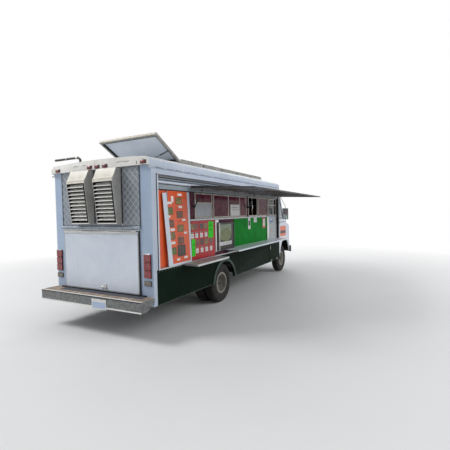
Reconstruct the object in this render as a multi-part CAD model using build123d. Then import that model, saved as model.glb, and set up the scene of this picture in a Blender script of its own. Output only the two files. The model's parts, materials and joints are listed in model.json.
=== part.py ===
"""A step-van food truck: hollow body, serving bay with a lift-up awning, short-nosed cab.

Drawn in millimetres with X forward from the rear wall, Y to the left from the centreline
and Z up from the ground.  Every piece is moved at the end so that the origin lies on the
ground under the middle of the whole truck, with the awning open.
"""
from build123d import *
from math import atan2, cos, degrees, radians, sin, sqrt
import os

# Box body
HALF_W = 1090            # half of the body's width
WALL = 40                # sides, rear wall and roof
BODY_FRONT = 5700        # where the box ends and the cab begins
CORNER_R = 45            # upright rear corners
SKIRT_Z = 460            # lower edge of the skirts
BELT_Z = 993             # top of the skirts, foot of the white walls
EAVES_Z = 2525           # top of the walls, foot of the roof
FLOOR_Z = 700            # top of the floor
FLOOR_T = 40
POST = 80                # length of the corner posts along X

# Roof
ROOF_TOP = EAVES_Z + 195
ROOF_SHOULDER = EAVES_Z + 85     # where the side turns into the roof
ROOF_FLAT = HALF_W - 105         # half width where the shoulder's curve ends
ROOF_FLAT_Z = EAVES_Z + 167
FASCIA_Z = EAVES_Z + 37          # foot of the fascia over the rear wall
FASCIA_OUT = 40
ROOF_NOSE_R = 190

# Cab
NOSE_X = BODY_FRONT + 1100
NOSE_Z = (600, 1365)
FRONT_BUMPER_Z = (545, 740)
FRONT_BUMPER_T = 14
COWL = (BODY_FRONT + 480, 1585)  # foot of the windscreen
GLASS_TOP_X = BODY_FRONT + 45
QUARTER_Z = (COWL[1] + 55, EAVES_Z - 245)
SCREEN_Z = (COWL[1] + 55, EAVES_Z - 105)
SCREEN_Y = (25, HALF_W - 100)    # each half of the windscreen
PILLAR = 88                      # width of the windscreen pillars, seen from the side
CAB_T = 30
NOSE_CORNER_R = 150
HOOD_HALF_W = HALF_W - 370
HOOD_T = 16
HOOD_GAP = 8
HOOD_LEAF = 60                   # length of each half of a hood hinge
HOOD_HINGE_Y = (-500, 500)
GRILLE_HALF_W = 560
GRILLE_Z = (820, 1240)
GRILLE_OPEN_HALF = 330           # half width of the slatted part
LAMP_CENTRE = (440, 1030)
LAMP_R = 92

# Wheels and running gear
TYRE_R = 400
TYRE_W = 215
RIM_R = 203                      # sixteen inch rim
WHEELBASE = 3990
FRONT_AXLE_X = NOSE_X - 584
REAR_AXLE_X = FRONT_AXLE_X - WHEELBASE
FRONT_TRACK = HALF_W - 210       # centreline to the middle of a front wheel
TWIN_TRACK = (HALF_W - 422, HALF_W - 157)    # centreline to the middle of each rear tyre
KINGPIN_Y = FRONT_TRACK - 90
KINGPIN_R = 14
YOKE = (60, 88)                  # inner and outer face of the knuckle's arms, from the axle's height
SPINDLE_R = 30
AXLE_SHAFT_R = 40
DRUM_R = 150
RUN_GAP = 0.3                    # running gap round shafts and pins
ARCH_REAR_R = TYRE_R + 52
ARCH_FRONT = (TYRE_R + 80, TYRE_R + 227)     # half length and rise above the axle of the front arch
FLARE = (48, 22)                 # width and depth of the lip round a rear arch
WELL_TOP = 2 * TYRE_R + 100      # top of the rear wheel wells
WELL_Y = TWIN_TRACK[0] - 138     # inner side of the rear wheel wells
RAIL_Y = (380, 440)
RAIL_Z = (TYRE_R + 80, TYRE_R + 240)
SPRING_Y = 410
ENGINE_X = (NOSE_X - 900, NOSE_X - 200)
ENGINE_Y = 290
TAILPIPE_X = 1150
EXHAUST_Y = 497
EXHAUST_Z = RAIL_Z[0] + 68
TAILPIPE_DROP = 34
PIPE_R = 28

# Serving bay on the right side
BAY_X = (150, BODY_FRONT - 60)
BAY_TOP = EAVES_Z - 95
BAY_DEPTH = 60
BAY_WALL_T = 30
BAY_FACE = -HALF_W + BAY_DEPTH
BAY_FLANGE = 30                  # turned edge behind the outer wall
HEAD_Z = EAVES_Z - 313           # head of the service windows
SILL_Z = HEAD_Z - 472            # foot of the service windows
WINDOWS = ((1240, 1865), (1905, 3480), (3600, 4180), (4230, 4885), (4940, 5600))
SPLIT_WINDOWS = (0, 4)           # windows with a bar across them
TRIPLE_WINDOW = 1                # the window with two uprights
OPEN_WINDOW = 2                  # the window that people are served through
MULLIONS = (2560, 3130)
TRANSOM_Z = (HEAD_Z - 196, HEAD_Z - 172)
FRAME_W = 26                     # width of a window frame
SEAT_GAP = 0.3                   # fit between a piece and what it is let into or laid on
MENU_X = (425, 1025)
BOARD_TOP = SILL_Z - 40
POSTS_X = ((1935, 2065), (4812, 4922))
BOARDS = {                       # reach along X, reach along Z, thickness
    "price_board": ((1092, 1920), (1004, BOARD_TOP), 16),
    "picture_board": ((2075, 2740), (1085, BOARD_TOP - 70), 36),
    "green_panel": ((2790, 4800), (1082, BOARD_TOP), 10),
    "service_panel": ((4935, 5590), (1082, BOARD_TOP), 14),
}

# Awning
AWNING_LEN = 1200
AWNING_DROOP = 2.5               # below level, as it rests on its gas struts
AWNING_T = (20, 25)              # ribs below and skin above the hinge line
AWNING_X = (MENU_X[1] + 20, BAY_X[1] - 25)       # clear of the leaning menu board
AWNING_BAYS = 6
AWNING_RIB = 40
AWNING_SKIN = 5
HINGE_OUT = 28                   # hinge line outside the wall
HINGE_R = 8
HINGE_Y = -HALF_W - HINGE_OUT
HINGE_Z = HEAD_Z + 78
LEAF_T = 4                       # hinge leaf on the band over the windows
BAND_Z = (HEAD_Z + 8, HEAD_Z + 80, HEAD_Z + 88)  # plain band, and the foot of the grooved one
BAND_OUT = (44, 30)              # plain and grooved band, in front of the windows' wall
STRUT_X = (1200, 3540)
STRUT_PIVOT_Y = -HALF_W + 26
STRUT_PIVOT_Z = HINGE_Z - 330
STRUT_ARM = 105                  # hinge line to the strut's pin, along the awning
STRUT_PIN_DROP = 50              # the pin below the hinge line
STRUT_BARREL = 190               # pivot to the barrel's open end
STRUT_ROD_IN = 50                # rod left in the barrel with the awning up
STRUT_R = 9
STRUT_PIN_R = 5
ROD_R = 4

# Rear face
HATCH_HALF_W = HALF_W - 262
HATCH_Z = (622, 1570)
HATCH_T = 23
HATCH_OPEN_HALF = HATCH_HALF_W - 28
HATCH_HINGE = (-26, HATCH_Z[1] + 6)
HATCH_HINGE_R = 7
QUILT_HALF_W = HALF_W - 214
QUILT_Z = (HATCH_Z[1] + 90, EAVES_Z + 35)
QUILT_T = 4
VENT_CENTRES = (-300, 300)
VENT_W = 412
VENT_FLANGE = 30                 # a vent laps this far over its hole in the wall
VENT_TOP = EAVES_Z + 25
VENT_BROW = EAVES_Z - 125
VENT_BROW_FOOT = EAVES_Z - 173
VENT_FOOT = QUILT_Z[0] + 40
VENT_DEPTH = (195, 120)          # at the brow and at the foot
VENT_SHEET = 5
SLAT_PITCH = 57
SLAT_TOP = VENT_BROW_FOOT - 60
SLATS = round((SLAT_TOP - VENT_FOOT - 22) / SLAT_PITCH)
BUMPER_X = -292
BUMPER_HALF_W = HALF_W + 10
BUMPER_Z = (432, 600)
BUMPER_T = 8
TOW_HOLE_R = 13
TOW_HOLE_X = -200
PLATE_Y = -260
PLATE_Z = 545
PLATE_BOLTS = 177.8              # seven inches between the licence plate's bolts
PLATE_BOLT_R = 3.5
LAMP_Y = (HALF_W - 168, HALF_W - 38)
LAMP_ROWS = (888, 1008, 1128)    # feet of the three stacked lamps
LAMP_H = 110
REVERSE_LAMP_Z = (770, 836)
MARKER_Y = (-HALF_W + 140, -172, 0, 172, HALF_W - 140)
MARKER_Z = (FASCIA_Z + 30, FASCIA_Z + 62)
MARKER_HALF_W = 42

# Tilting roof panel and the flat row in front of it
PANEL_Y = (-790, 500)
PANEL_T = 45
PANEL_FRAME = 40
PANEL_HINGE = (1150, ROOF_TOP + 52)
PANEL_LEN = 743
RAIL_PANEL_Y = (PANEL_Y[0] + 150, PANEL_Y[1] - 150)
PANEL_RAIL_HALF = 22
EAR = 16                         # width of each hinge ear
PIN_R = 5
PANEL_TILT = 29.7
ROW_COUNT = 5
ROW_LEN = 760
ROW_GAP = 24
STAY_FOOT = (470, ROOF_TOP + 15)
STAY_ARM = 310                   # hinge to the stay's pin, along the panel
STAY_DROP = 4                    # the pin below the hinge line
STAY_Y = PANEL_Y[0] + 52
VENT_PIPE = (340, HALF_W - 280)  # foot of the bent pipe on the roof
VENT_PIPE_R = 21
VENT_PIPE_TOP = ROOF_TOP + 165

# Shelf, ledge and locker
SHELF_X = (750, 1860)
SHELF_DEPTH = 300                # outer wall to the shelf's outer edge
SHELF_HINGE_OUT = 38             # far enough out to hang clear of the wheel arch's lip
SHELF_LUGS = (820, 1150, 1470, 1790)
SHELF_TUBE_R = 5.5
SHELF_Z = 1000                   # top of the shelf
SHELF_T = 30
SHELF_PIN_Z = SHELF_Z - SHELF_T + 4
LEDGE_X = (2300, BODY_FRONT - 100)
LEDGE_DEPTH = 300
LEDGE_Z = 1075
LEDGE_T = 6
LOCKER_X = (BODY_FRONT - 840, BODY_FRONT - 70)
LOCKER_Z = (SKIRT_Z + 32, BELT_Z - 31)
LOCKER_DEPTH = 380
LOCKER_HINGES = (LOCKER_X[0] + 140, LOCKER_X[1] - 180)
LOCKER_PIN = (-HALF_W - 7, LOCKER_Z[0] + 2.5)
LOCKER_LEAF = 50                 # length of each half of a locker hinge
LOCKER_SHEET = 6
DOOR_GAP = 5

# Driver's door and the left side's window
DRIVER_DOOR_X = (BODY_FRONT - 740, BODY_FRONT - 90)
DRIVER_DOOR_Z = (640, EAVES_Z - 125)
DRIVER_PANE_Z = (1560, DRIVER_DOOR_Z[1] - 95)
DRIVER_PANE_IN = 70              # door's edge to its pane
DOOR_PIN = (DRIVER_DOOR_X[1] - 2.5, HALF_W + 7)
DOOR_HINGES = (DRIVER_DOOR_Z[0] + 490, 1700, DRIVER_DOOR_Z[1] - 150)
DOOR_LEAF = 40                   # height of each half of a door hinge
LEFT_WINDOW_X = (3300, 4300)
LEFT_WINDOW_Z = (SILL_Z + 10, HEAD_Z - 62)
PANE_Y = (HALF_W - 22, HALF_W - 17)      # glass in the left side
COUNTER_TOP = 1600
CANOPY_Z = (EAVES_Z - 395, EAVES_Z - 325, EAVES_Z - 85)
REACH = 4000                     # longer than anything a cut has to pass through


def block(x, y, z):
    """Box between two values along each axis."""
    size = [hi - lo for lo, hi in (x, y, z)]
    mid = [(hi + lo) / 2 for lo, hi in (x, y, z)]
    return Pos(*mid) * Box(*size)


def bar(a, b, radius):
    """Round bar from point a to point b."""
    axis = Vector(*b) - Vector(*a)
    plane = Plane(origin=a, z_dir=axis)
    return plane * Cylinder(radius, axis.length, align=(Align.CENTER, Align.CENTER, Align.MIN))


def side_prism(points, y0, y1):
    """Outline of (x, z) points carried across from y0 to y1."""
    face = make_face(Polyline(*[(x, y0, z) for x, z in points], close=True))
    return extrude(face, amount=y1 - y0, dir=(0, 1, 0))


def cross_prism(edges, x0, x1):
    """Closed outline of edges drawn at x0, carried forward to x1."""
    return extrude(make_face(edges), amount=x1 - x0, dir=(1, 0, 0))


def mirrored(shape):
    """The piece and its twin on the other side of the centreline."""
    return [shape, mirror(shape, about=Plane.XZ)]


def turned(shape, pivot, angle):
    """Shape turned about a line along X through pivot (y, z)."""
    axis = Axis((0, pivot[0], pivot[1]), (1, 0, 0))
    return shape.rotate(axis, angle)


def pitched(shape, pivot, angle):
    """Shape turned about a line along Y through pivot (x, z)."""
    axis = Axis((pivot[0], 0, pivot[1]), (0, 1, 0))
    return shape.rotate(axis, angle)


def roof_section(inset, x0, x1):
    """Roof hull between x0 and x1, its outline moved in by inset."""
    side = HALF_W - inset
    shoulder = ROOF_SHOULDER - inset / 2
    flat, flat_z, top = ROOF_FLAT - inset / 2, ROOF_FLAT_Z - inset, ROOF_TOP - inset
    foot = EAVES_Z - inset
    rise = (side - flat, flat_z - shoulder)
    bow = (side - 0.32 * rise[0], shoulder + 0.70 * rise[1])
    edges = Polyline((x0, -side, shoulder), (x0, -side, foot), (x0, side, foot), (x0, side, shoulder))
    edges += ThreePointArc((x0, side, shoulder), (x0, *bow), (x0, flat, flat_z))
    edges += ThreePointArc((x0, flat, flat_z), (x0, 0, top), (x0, -flat, flat_z))
    edges += ThreePointArc((x0, -flat, flat_z), (x0, -bow[0], bow[1]), (x0, -side, shoulder))
    return cross_prism(edges, x0, x1)


def roof_profile(inset):
    """Side view of the roof, with the fascia at the rear and a round nose over the windscreen."""
    rear, front = -FASCIA_OUT + inset, GLASS_TOP_X - inset
    top, foot = ROOF_TOP + 5 - inset, EAVES_Z - inset
    outline = side_prism([(rear, foot), (front, foot), (front, top), (rear, top)], -HALF_W, HALF_W)
    nose = outline.edges().filter_by(Axis.Y).filter_by_position(Axis.Z, top - 1, top + 1)
    nose = nose.sort_by(Axis.X)[-1]
    return fillet(nose, ROOF_NOSE_R - inset)


def roof_hull():
    return roof_section(0, -FASCIA_OUT, GLASS_TOP_X) & roof_profile(0)


def roof():
    inner = roof_section(WALL, -FASCIA_OUT + WALL, GLASS_TOP_X - WALL) & roof_profile(WALL)
    under_fascia = block((-FASCIA_OUT - 1, 0), (-HALF_W - 1, HALF_W + 1), (EAVES_Z - 1, FASCIA_Z))
    return roof_hull() - inner - under_fascia


def rear_wall():
    shell = block((0, POST), (-HALF_W, HALF_W), (SKIRT_Z, EAVES_Z))
    shell -= block((-1, POST + 1), (-RAIL_Y[1] - 5, RAIL_Y[1] + 5), (SKIRT_Z - 1, FLOOR_Z - FLOOR_T))
    corners = shell.edges().filter_by(Axis.Z).sort_by(Axis.X)[:2]
    shell = fillet(corners, CORNER_R)
    shell -= block((WALL, POST + 1), (-HALF_W + WALL, HALF_W - WALL), (SKIRT_Z - 1, EAVES_Z + 1))
    shell -= block((-1, WALL + 1), (-HATCH_OPEN_HALF, HATCH_OPEN_HALF), (FLOOR_Z + 5, HATCH_Z[1] - 20))
    for centre in VENT_CENTRES:
        half = VENT_W / 2 - VENT_FLANGE
        shell -= block((-1, WALL + 1), (centre - half, centre + half), (VENT_FOOT + 40, VENT_BROW - 60))
    return shell


def right_wall():
    wall = block((POST, BODY_FRONT), (-HALF_W, -HALF_W + WALL), (BELT_Z, EAVES_Z))
    return wall - block(BAY_X, (-HALF_W - 1, -HALF_W + WALL + 1), (BELT_Z - 1, BAY_TOP))


def left_wall():
    wall = block((POST, BODY_FRONT), (HALF_W - WALL, HALF_W), (BELT_Z, EAVES_Z))
    through = (HALF_W - WALL - 1, HALF_W + 1)
    wall -= block(DRIVER_DOOR_X, through, (BELT_Z - 1, DRIVER_DOOR_Z[1]))
    wall -= block(LEFT_WINDOW_X, through, LEFT_WINDOW_Z)
    for z in DOOR_HINGES:
        wall += door_knuckle(z, 1)
    return wall


def arch_cut(axle_x, half_len, rise, side):
    """Elliptical wheel opening through one side, down to the ground."""
    y = side * HALF_W
    plane = Plane(origin=(axle_x, y - 150, TYRE_R), x_dir=(1, 0, 0), z_dir=(0, 1, 0))
    oval = extrude(plane * Ellipse(half_len, rise), amount=300)
    return oval + block((axle_x - half_len, axle_x + half_len), (y - 150, y + 150), (0, TYRE_R))


def arch_flare(side):
    """Raised lip round the rear wheel opening."""
    y = side * HALF_W
    plane = Plane(origin=(REAR_AXLE_X, y, TYRE_R), x_dir=(1, 0, 0), z_dir=(0, 1, 0))
    lip = extrude(plane * (Circle(ARCH_REAR_R + FLARE[0]) - Circle(ARCH_REAR_R)), amount=side * FLARE[1])
    return lip - block((0, BODY_FRONT), (-REACH, REACH), (-REACH, SKIRT_Z))


def skirt(side):
    y = sorted((side * HALF_W, side * (HALF_W - WALL)))
    panel = block((POST, BODY_FRONT), y, (SKIRT_Z, BELT_Z))
    panel -= arch_cut(REAR_AXLE_X, ARCH_REAR_R, ARCH_REAR_R, side)
    panel += arch_flare(side)
    if side < 0:
        panel -= block(LOCKER_X, (y[0] - 1, y[1] + 1), LOCKER_Z)
        for at in LOCKER_HINGES:
            panel += locker_knuckle(at, -1)
        for at in SHELF_LUGS:
            panel += shelf_lug(at)
    else:
        panel -= block(DRIVER_DOOR_X, (y[0] - 1, y[1] + 1), (DRIVER_DOOR_Z[0], BELT_Z + 1))
        z = EXHAUST_Z - TAILPIPE_DROP
        panel -= bar((TAILPIPE_X, y[0] - 5, z), (TAILPIPE_X, y[1] + 5, z), PIPE_R + 12)
    return panel


def floor():
    inner = HALF_W - WALL
    slab = block((WALL, BODY_FRONT), (-inner, inner), (FLOOR_Z - FLOOR_T, FLOOR_Z))
    sheet = 20
    half = ARCH_REAR_R + 30
    for side in (-1, 1):
        y = sorted((side * WELL_Y, side * inner))
        well = block((REAR_AXLE_X - half, REAR_AXLE_X + half), y, (FLOOR_Z - FLOOR_T, WELL_TOP))
        inside = sorted((side * (WELL_Y + sheet), side * (inner + 1)))
        hollow = block((REAR_AXLE_X - half + sheet, REAR_AXLE_X + half - sheet), inside,
                       (FLOOR_Z - FLOOR_T - 1, WELL_TOP - sheet))
        slab = slab + well - hollow
    pocket = (-inner - 1, -inner + LOCKER_DEPTH)
    slab -= block(LOCKER_X, pocket, (FLOOR_Z - FLOOR_T - 1, FLOOR_Z + 1))
    return slab


def screen_x(z):
    """Windscreen's outer face at height z."""
    rake = (GLASS_TOP_X - COWL[0]) / (EAVES_Z - COWL[1])
    return COWL[0] + rake * (z - COWL[1])


def quarter_pane(gap):
    """Outline (x, z) of the side quarter window, drawn in by gap."""
    rear = BODY_FRONT + 50 + gap
    low, high = QUARTER_Z[0] + gap, QUARTER_Z[1] - gap
    return [(rear, low), (screen_x(low) - PILLAR - gap, low), (screen_x(high) - PILLAR - gap, high), (rear, high)]


def cab_profile(inset):
    """Side view of the cab: windscreen, cowl, hood and nose."""
    foot_x = COWL[0] - inset
    low = NOSE_Z[0] - (1 if inset else 0)
    points = [(BODY_FRONT, low), (BODY_FRONT, EAVES_Z - inset),
              (screen_x(EAVES_Z - inset) - inset, EAVES_Z - inset),
              (foot_x, COWL[1] - inset), (COWL[0] + 40 - inset, COWL[1] - 14 - inset),
              (NOSE_X - 55, NOSE_Z[1] + 12 - inset), (NOSE_X - inset, NOSE_Z[1] - 45),
              (NOSE_X - inset, low)]
    side = HALF_W - inset
    hull = side_prism(points, -side, side)
    corners = hull.edges().filter_by(Axis.Z).filter_by_position(Axis.X, NOSE_X - inset - 1, NOSE_X + 1)
    return fillet(corners, NOSE_CORNER_R - inset)


def hood_line(x):
    """Height of the hood's outer face at x."""
    x0, z0 = COWL[0] + 40, COWL[1] - 14
    x1, z1 = NOSE_X - 55, NOSE_Z[1] + 12
    return z0 + (z1 - z0) * (x - x0) / (x1 - x0)


HOOD_X = (COWL[0] + 70, NOSE_X - 90)
HOOD_PIN = (HOOD_X[0] - HOOD_GAP / 2, hood_line(HOOD_X[0]) + 2)


def hood_plate(grow, thick, above):
    """Slab along the hood's slope, grown all round by grow."""
    x0, x1 = HOOD_X[0] - grow, HOOD_X[1] + grow
    points = [(x0, hood_line(x0) + above), (x1, hood_line(x1) + above),
              (x1, hood_line(x1) - thick), (x0, hood_line(x0) - thick)]
    return side_prism(points, -HOOD_HALF_W - grow, HOOD_HALF_W + grow)


def cab_shell():
    shell = cab_profile(0) - cab_profile(CAB_T)
    shell -= block((BODY_FRONT - 1, BODY_FRONT + 1), (-HALF_W + CAB_T, HALF_W - CAB_T),
                   (NOSE_Z[0] - 1, EAVES_Z - CAB_T))
    for side in (-1, 1):
        shell -= arch_cut(FRONT_AXLE_X, *ARCH_FRONT, side)
        shell -= side_prism(quarter_pane(0), *sorted((side * (HALF_W - 100), side * (HALF_W + 1))))
        foot, head = (screen_x(z) for z in SCREEN_Z)
        low, high = SCREEN_Z
        outline = [(foot - 60, low), (foot + 9, low), (head + 9, high), (head - 60, high)]
        shell -= side_prism(outline, *sorted(side * y for y in SCREEN_Y))
    shell -= hood_plate(HOOD_GAP, 90, 30)
    shell -= block((NOSE_X - 60, NOSE_X + 10), (-GRILLE_HALF_W, GRILLE_HALF_W), GRILLE_Z)
    for y in HOOD_HINGE_Y:
        shell += hood_knuckle(y, -1)
    return shell


def hood_knuckle(y, side):
    """Half of a hood hinge: a barrel on its leaf, behind (-1) or ahead (+1) of the pin."""
    x, z = HOOD_PIN
    y0 = y if side > 0 else y - HOOD_LEAF - RUN_GAP
    barrel = bar((x, y0, z), (x, y0 + HOOD_LEAF, z), 3.4)
    span = sorted((x, x + side * 20))
    leaf = [(span[0], hood_line(span[0]) - 1), (span[1], hood_line(span[1]) - 1),
            (span[1], hood_line(span[1]) + 3), (span[0], hood_line(span[0]) + 3)]
    return barrel + side_prism(leaf, y0, y0 + HOOD_LEAF)


def hood():
    lid = hood_plate(0, HOOD_T, 0)
    stiffener = hood_plate(-90, 40, -HOOD_T) - hood_plate(-130, 60, 0)
    for y in HOOD_HINGE_Y:
        lid += hood_knuckle(y, 1)
    return lid + stiffener


def grille():
    """Slatted grille set in the nose opening, between two lamp bezels."""
    x = (NOSE_X - CAB_T + 2, NOSE_X - 4)
    past = (x[0] - 1, x[1] + 1)
    half, low, high = GRILLE_HALF_W - RUN_GAP, GRILLE_Z[0] + RUN_GAP, GRILLE_Z[1] - RUN_GAP
    inside = (-GRILLE_OPEN_HALF, GRILLE_OPEN_HALF)
    frame = block(x, (-half, half), (low, high)) - block(past, inside, (low + 30, high - 30))
    for side in (-1, 1):
        y = side * LAMP_CENTRE[0]
        frame -= bar((past[0], y, LAMP_CENTRE[1]), (past[1], y, LAMP_CENTRE[1]), LAMP_R)
    for i in range(8):
        z = low + 60 + i * 43
        frame += block((x[0] + 4, x[1] - 4), (inside[0] - 1, inside[1] + 1), (z - 6, z + 6))
    return frame


def headlamps():
    y, z = LAMP_CENTRE
    lamp = bar((NOSE_X - 60, y, z), (NOSE_X - 12, y, z), LAMP_R - RUN_GAP)
    front = lamp.edges().filter_by(GeomType.CIRCLE).sort_by(Axis.X)[-1]
    return mirrored(fillet(front, 10))


def front_bumper():
    """Pressed bumper with swept-back ends, on two arms from the chassis rails."""
    rear, front = NOSE_X + 6, NOSE_X + 210
    t = FRONT_BUMPER_T
    end, face_end = HALF_W + 5, HALF_W - 160
    outer = [(rear, -end), (rear + 60, -end), (front, -face_end), (front, face_end), (rear + 60, end), (rear, end)]
    inner = [(rear, end - t), (rear + 54, end - t), (front - t, face_end - 4), (front - t, 4 - face_end),
             (rear + 54, t - end), (rear, t - end)]
    plan = Polyline(*[(x, y, FRONT_BUMPER_Z[0]) for x, y in outer + inner], close=True)
    face = extrude(make_face(plan), amount=FRONT_BUMPER_Z[1] - FRONT_BUMPER_Z[0], dir=(0, 0, 1))
    for side in (-1, 1):
        y = sorted((side * (RAIL_Y[0] + 4), side * (RAIL_Y[1] - 4)))
        face += block((NOSE_X - 59.7, front - t + 1), y, (FRONT_BUMPER_Z[0], NOSE_Z[0] - 4))
    return face


def chassis():
    frame = None
    for side in (-1, 1):
        y = sorted((side * RAIL_Y[0], side * RAIL_Y[1]))
        rail = block((20, NOSE_X - 60), y, RAIL_Z)
        inside = sorted((side * (RAIL_Y[0] - 1), side * (RAIL_Y[1] - 8)))
        rail -= block((19, NOSE_X - 59), inside, (RAIL_Z[0] + 8, RAIL_Z[1] - 8))
        rail += block((60, BODY_FRONT), (y[0] + 5, y[1] - 5), (RAIL_Z[1], FLOOR_Z - FLOOR_T))
        frame = rail if frame is None else frame + rail
    for x in (60, 1200, 3200, 4300, BODY_FRONT - 300, NOSE_X - 110):
        frame += block((x - 30, x + 30), (-RAIL_Y[1] + 8, RAIL_Y[1] - 8), (RAIL_Z[0] + 8, RAIL_Z[1] - 8))
    for side in (-1, 1):
        y = sorted((side * (RAIL_Y[0] + 10), side * (RAIL_Y[1] - 10)))
        inset = BUMPER_T + SEAT_GAP
        frame += block((BUMPER_X + inset, 40), y, (500, BUMPER_Z[1] - inset))
        pad = sorted((side * (ENGINE_Y + RUN_GAP), side * (RAIL_Y[1] - 7)))
        frame += block((ENGINE_X[0] + 240, ENGINE_X[0] + 340), pad, (RAIL_Z[0] + 80, RAIL_Z[1] - 20))
    return frame


def leaf_spring(axle_x, y, reach, top, sag, thick):
    """Bowed leaf pack whose two ends meet the rail above."""
    a, b = axle_x - reach, axle_x + reach
    edges = ThreePointArc((a, y - 32, top), (axle_x, y - 32, top - sag), (b, y - 32, top))
    edges += Line((b, y - 32, top), (b, y - 32, top - 14))
    edges += ThreePointArc((b, y - 32, top - 14), (axle_x, y - 32, top - sag - thick), (a, y - 32, top - 14))
    edges += Line((a, y - 32, top - 14), (a, y - 32, top))
    return extrude(make_face(edges), amount=64, dir=(0, 1, 0))


def front_axle():
    """I-section beam between two king pin eyes, with a leaf spring on each side."""
    x, mid = FRONT_AXLE_X, TYRE_R
    end = KINGPIN_Y - 40
    beam = block((x - 32, x + 32), (-end, end), (mid - 50, mid + 30))
    for face in ((x + 12, x + 33), (x - 33, x - 12)):
        beam -= block(face, (50 - end, end - 50), (mid - 34, mid + 14))
    for side in (-1, 1):
        y = side * KINGPIN_Y
        eye = bar((x, y, mid - YOKE[0] + 2), (x, y, mid + YOKE[0] - 2), 33)
        link = block((x - 30, x + 30), sorted((side * (end - 10), y)), (mid - 48, mid + 28))
        beam = beam + eye + link
        beam -= bar((x, y, mid - 100), (x, y, mid + 100), KINGPIN_R + RUN_GAP)
        beam += leaf_spring(x, side * SPRING_Y, 470, RAIL_Z[0], 16, 34)
    return beam


def knuckle(side):
    """Yoke round the king pin, with the spindle that carries the wheel."""
    x, y, mid = FRONT_AXLE_X, side * KINGPIN_Y, TYRE_R
    near, far = YOKE
    back = sorted((y + side * 40, y + side * 60))
    piece = bar((x, y, mid - far), (x, y, mid + far), KINGPIN_R)
    for z in ((mid - far, mid - near), (mid + near, mid + far)):
        piece += bar((x, y, z[0]), (x, y, z[1]), 34)
        piece += block((x - 30, x + 30), sorted((y, y + side * 60)), z)
    piece += block((x - 30, x + 30), back, (mid - far, mid + far))
    piece += bar((x, y + side * 50, mid), (x, y + side * 58, mid), DRUM_R)
    piece += bar((x, y + side * 55, mid), (x, side * (FRONT_TRACK + 60), mid), SPINDLE_R)
    return piece


def tyre(y):
    """Tyre ring round an axle along Y, its tread centred at y: bead, bulging wall, shoulder, tread."""
    half = TYRE_W / 2
    bead = half - 32
    p = [(RIM_R + 2, -bead), (RIM_R + 17, -bead), (RIM_R + 38, -half + 6), (TYRE_R - 88, -half),
         (TYRE_R - 20, -half + 24), (TYRE_R, -half + 46)]
    p += [(r, -w) for r, w in reversed(p)]
    profile = make_face(Polyline(*[(r, w, 0) for r, w in p], close=True))
    ring = revolve(profile, axis=Axis.Y)
    return Pos(0, y, 0) * ring


def rim(y, side, dish, bore, hub):
    """Steel rim: barrel with its flanges, a dished disc with hand holes, and the hub."""
    half = TYRE_W / 2 - 32
    barrel = [(RIM_R - 24, -half - 9), (RIM_R + 14, -half - 9), (RIM_R + 14, -half - 1), (RIM_R + 1, -half - 1),
              (RIM_R + 1, -30), (RIM_R - 14, -18), (RIM_R - 14, 18), (RIM_R + 1, 30), (RIM_R + 1, half + 1),
              (RIM_R + 14, half + 1), (RIM_R + 14, half + 9), (RIM_R - 24, half + 9)]
    wheel = revolve(make_face(Polyline(*[(r, w, 0) for r, w in barrel], close=True)), axis=Axis.Y)
    slope = side * dish
    disc = [(RIM_R - 23, slope * 0.2 - 6), (RIM_R - 23, slope * 0.2 + 6), (128, slope + 6),
            (bore, slope + 6), (bore, slope - 6), (128, slope - 6)]
    wheel += revolve(make_face(Polyline(*[(r, w, 0) for r, w in disc], close=True)), axis=Axis.Y)
    for i in range(8):
        turn = radians(45 * i + 22.5)
        wheel -= bar((156 * cos(turn), -80, 156 * sin(turn)), (156 * cos(turn), 80, 156 * sin(turn)), 17)
    core = bar((0, hub[0], 0), (0, hub[1], 0), 62) - bar((0, hub[0] - 1, 0), (0, hub[1] + 1, 0), bore)
    return Pos(0, y, 0) * (wheel + core)


def front_wheel(side):
    y = side * FRONT_TRACK
    hub = sorted((side * -20, side * 66))
    centre = Pos(FRONT_AXLE_X, 0, TYRE_R)
    return centre * tyre(y), centre * rim(y, side, 22, SPINDLE_R + RUN_GAP, hub)


def rear_wheel(side):
    inner, outer = (side * value for value in TWIN_TRACK)
    mid = (TWIN_TRACK[1] - TWIN_TRACK[0]) / 2
    centre = Pos(REAR_AXLE_X, 0, TYRE_R)
    bore = AXLE_SHAFT_R + RUN_GAP
    rims = rim(inner, side, mid - 6, bore, sorted((side * 40, side * mid)))
    rims += rim(outer, -side, mid - 6, bore, sorted((-side * mid, side * -30)))
    return centre * Compound([tyre(inner), tyre(outer)]), centre * rims


def rear_axle():
    """Axle tube with its round case, drums, half shafts and leaf springs."""
    y_end = TWIN_TRACK[0] - 105
    axle = bar((REAR_AXLE_X, -y_end, TYRE_R), (REAR_AXLE_X, y_end, TYRE_R), 52)
    case = Pos(REAR_AXLE_X, 0, TYRE_R) * Sphere(165)
    axle += case
    axle += bar((REAR_AXLE_X, 0, TYRE_R), (REAR_AXLE_X + 250, 0, TYRE_R + 30), 55)
    for side in (-1, 1):
        drum = (side * (y_end - 5), side * (y_end + 85))
        axle += bar((REAR_AXLE_X, drum[0], TYRE_R), (REAR_AXLE_X, drum[1], TYRE_R), DRUM_R)
        tip = side * (TWIN_TRACK[1] - 18)
        axle += bar((REAR_AXLE_X, side * y_end, TYRE_R), (REAR_AXLE_X, tip, TYRE_R), AXLE_SHAFT_R)
        axle += leaf_spring(REAR_AXLE_X, side * SPRING_Y, 620, RAIL_Z[0], 10, 50)
    return axle


def engine():
    return block(ENGINE_X, (-ENGINE_Y, ENGINE_Y), (520, 1130))


def fuel_tank():
    tank = block((3150, 4350), (-HALF_W + 90, -500), (SKIRT_Z - 10, FLOOR_Z - FLOOR_T))
    return fillet(tank.edges().filter_by(Axis.X), 60)


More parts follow.
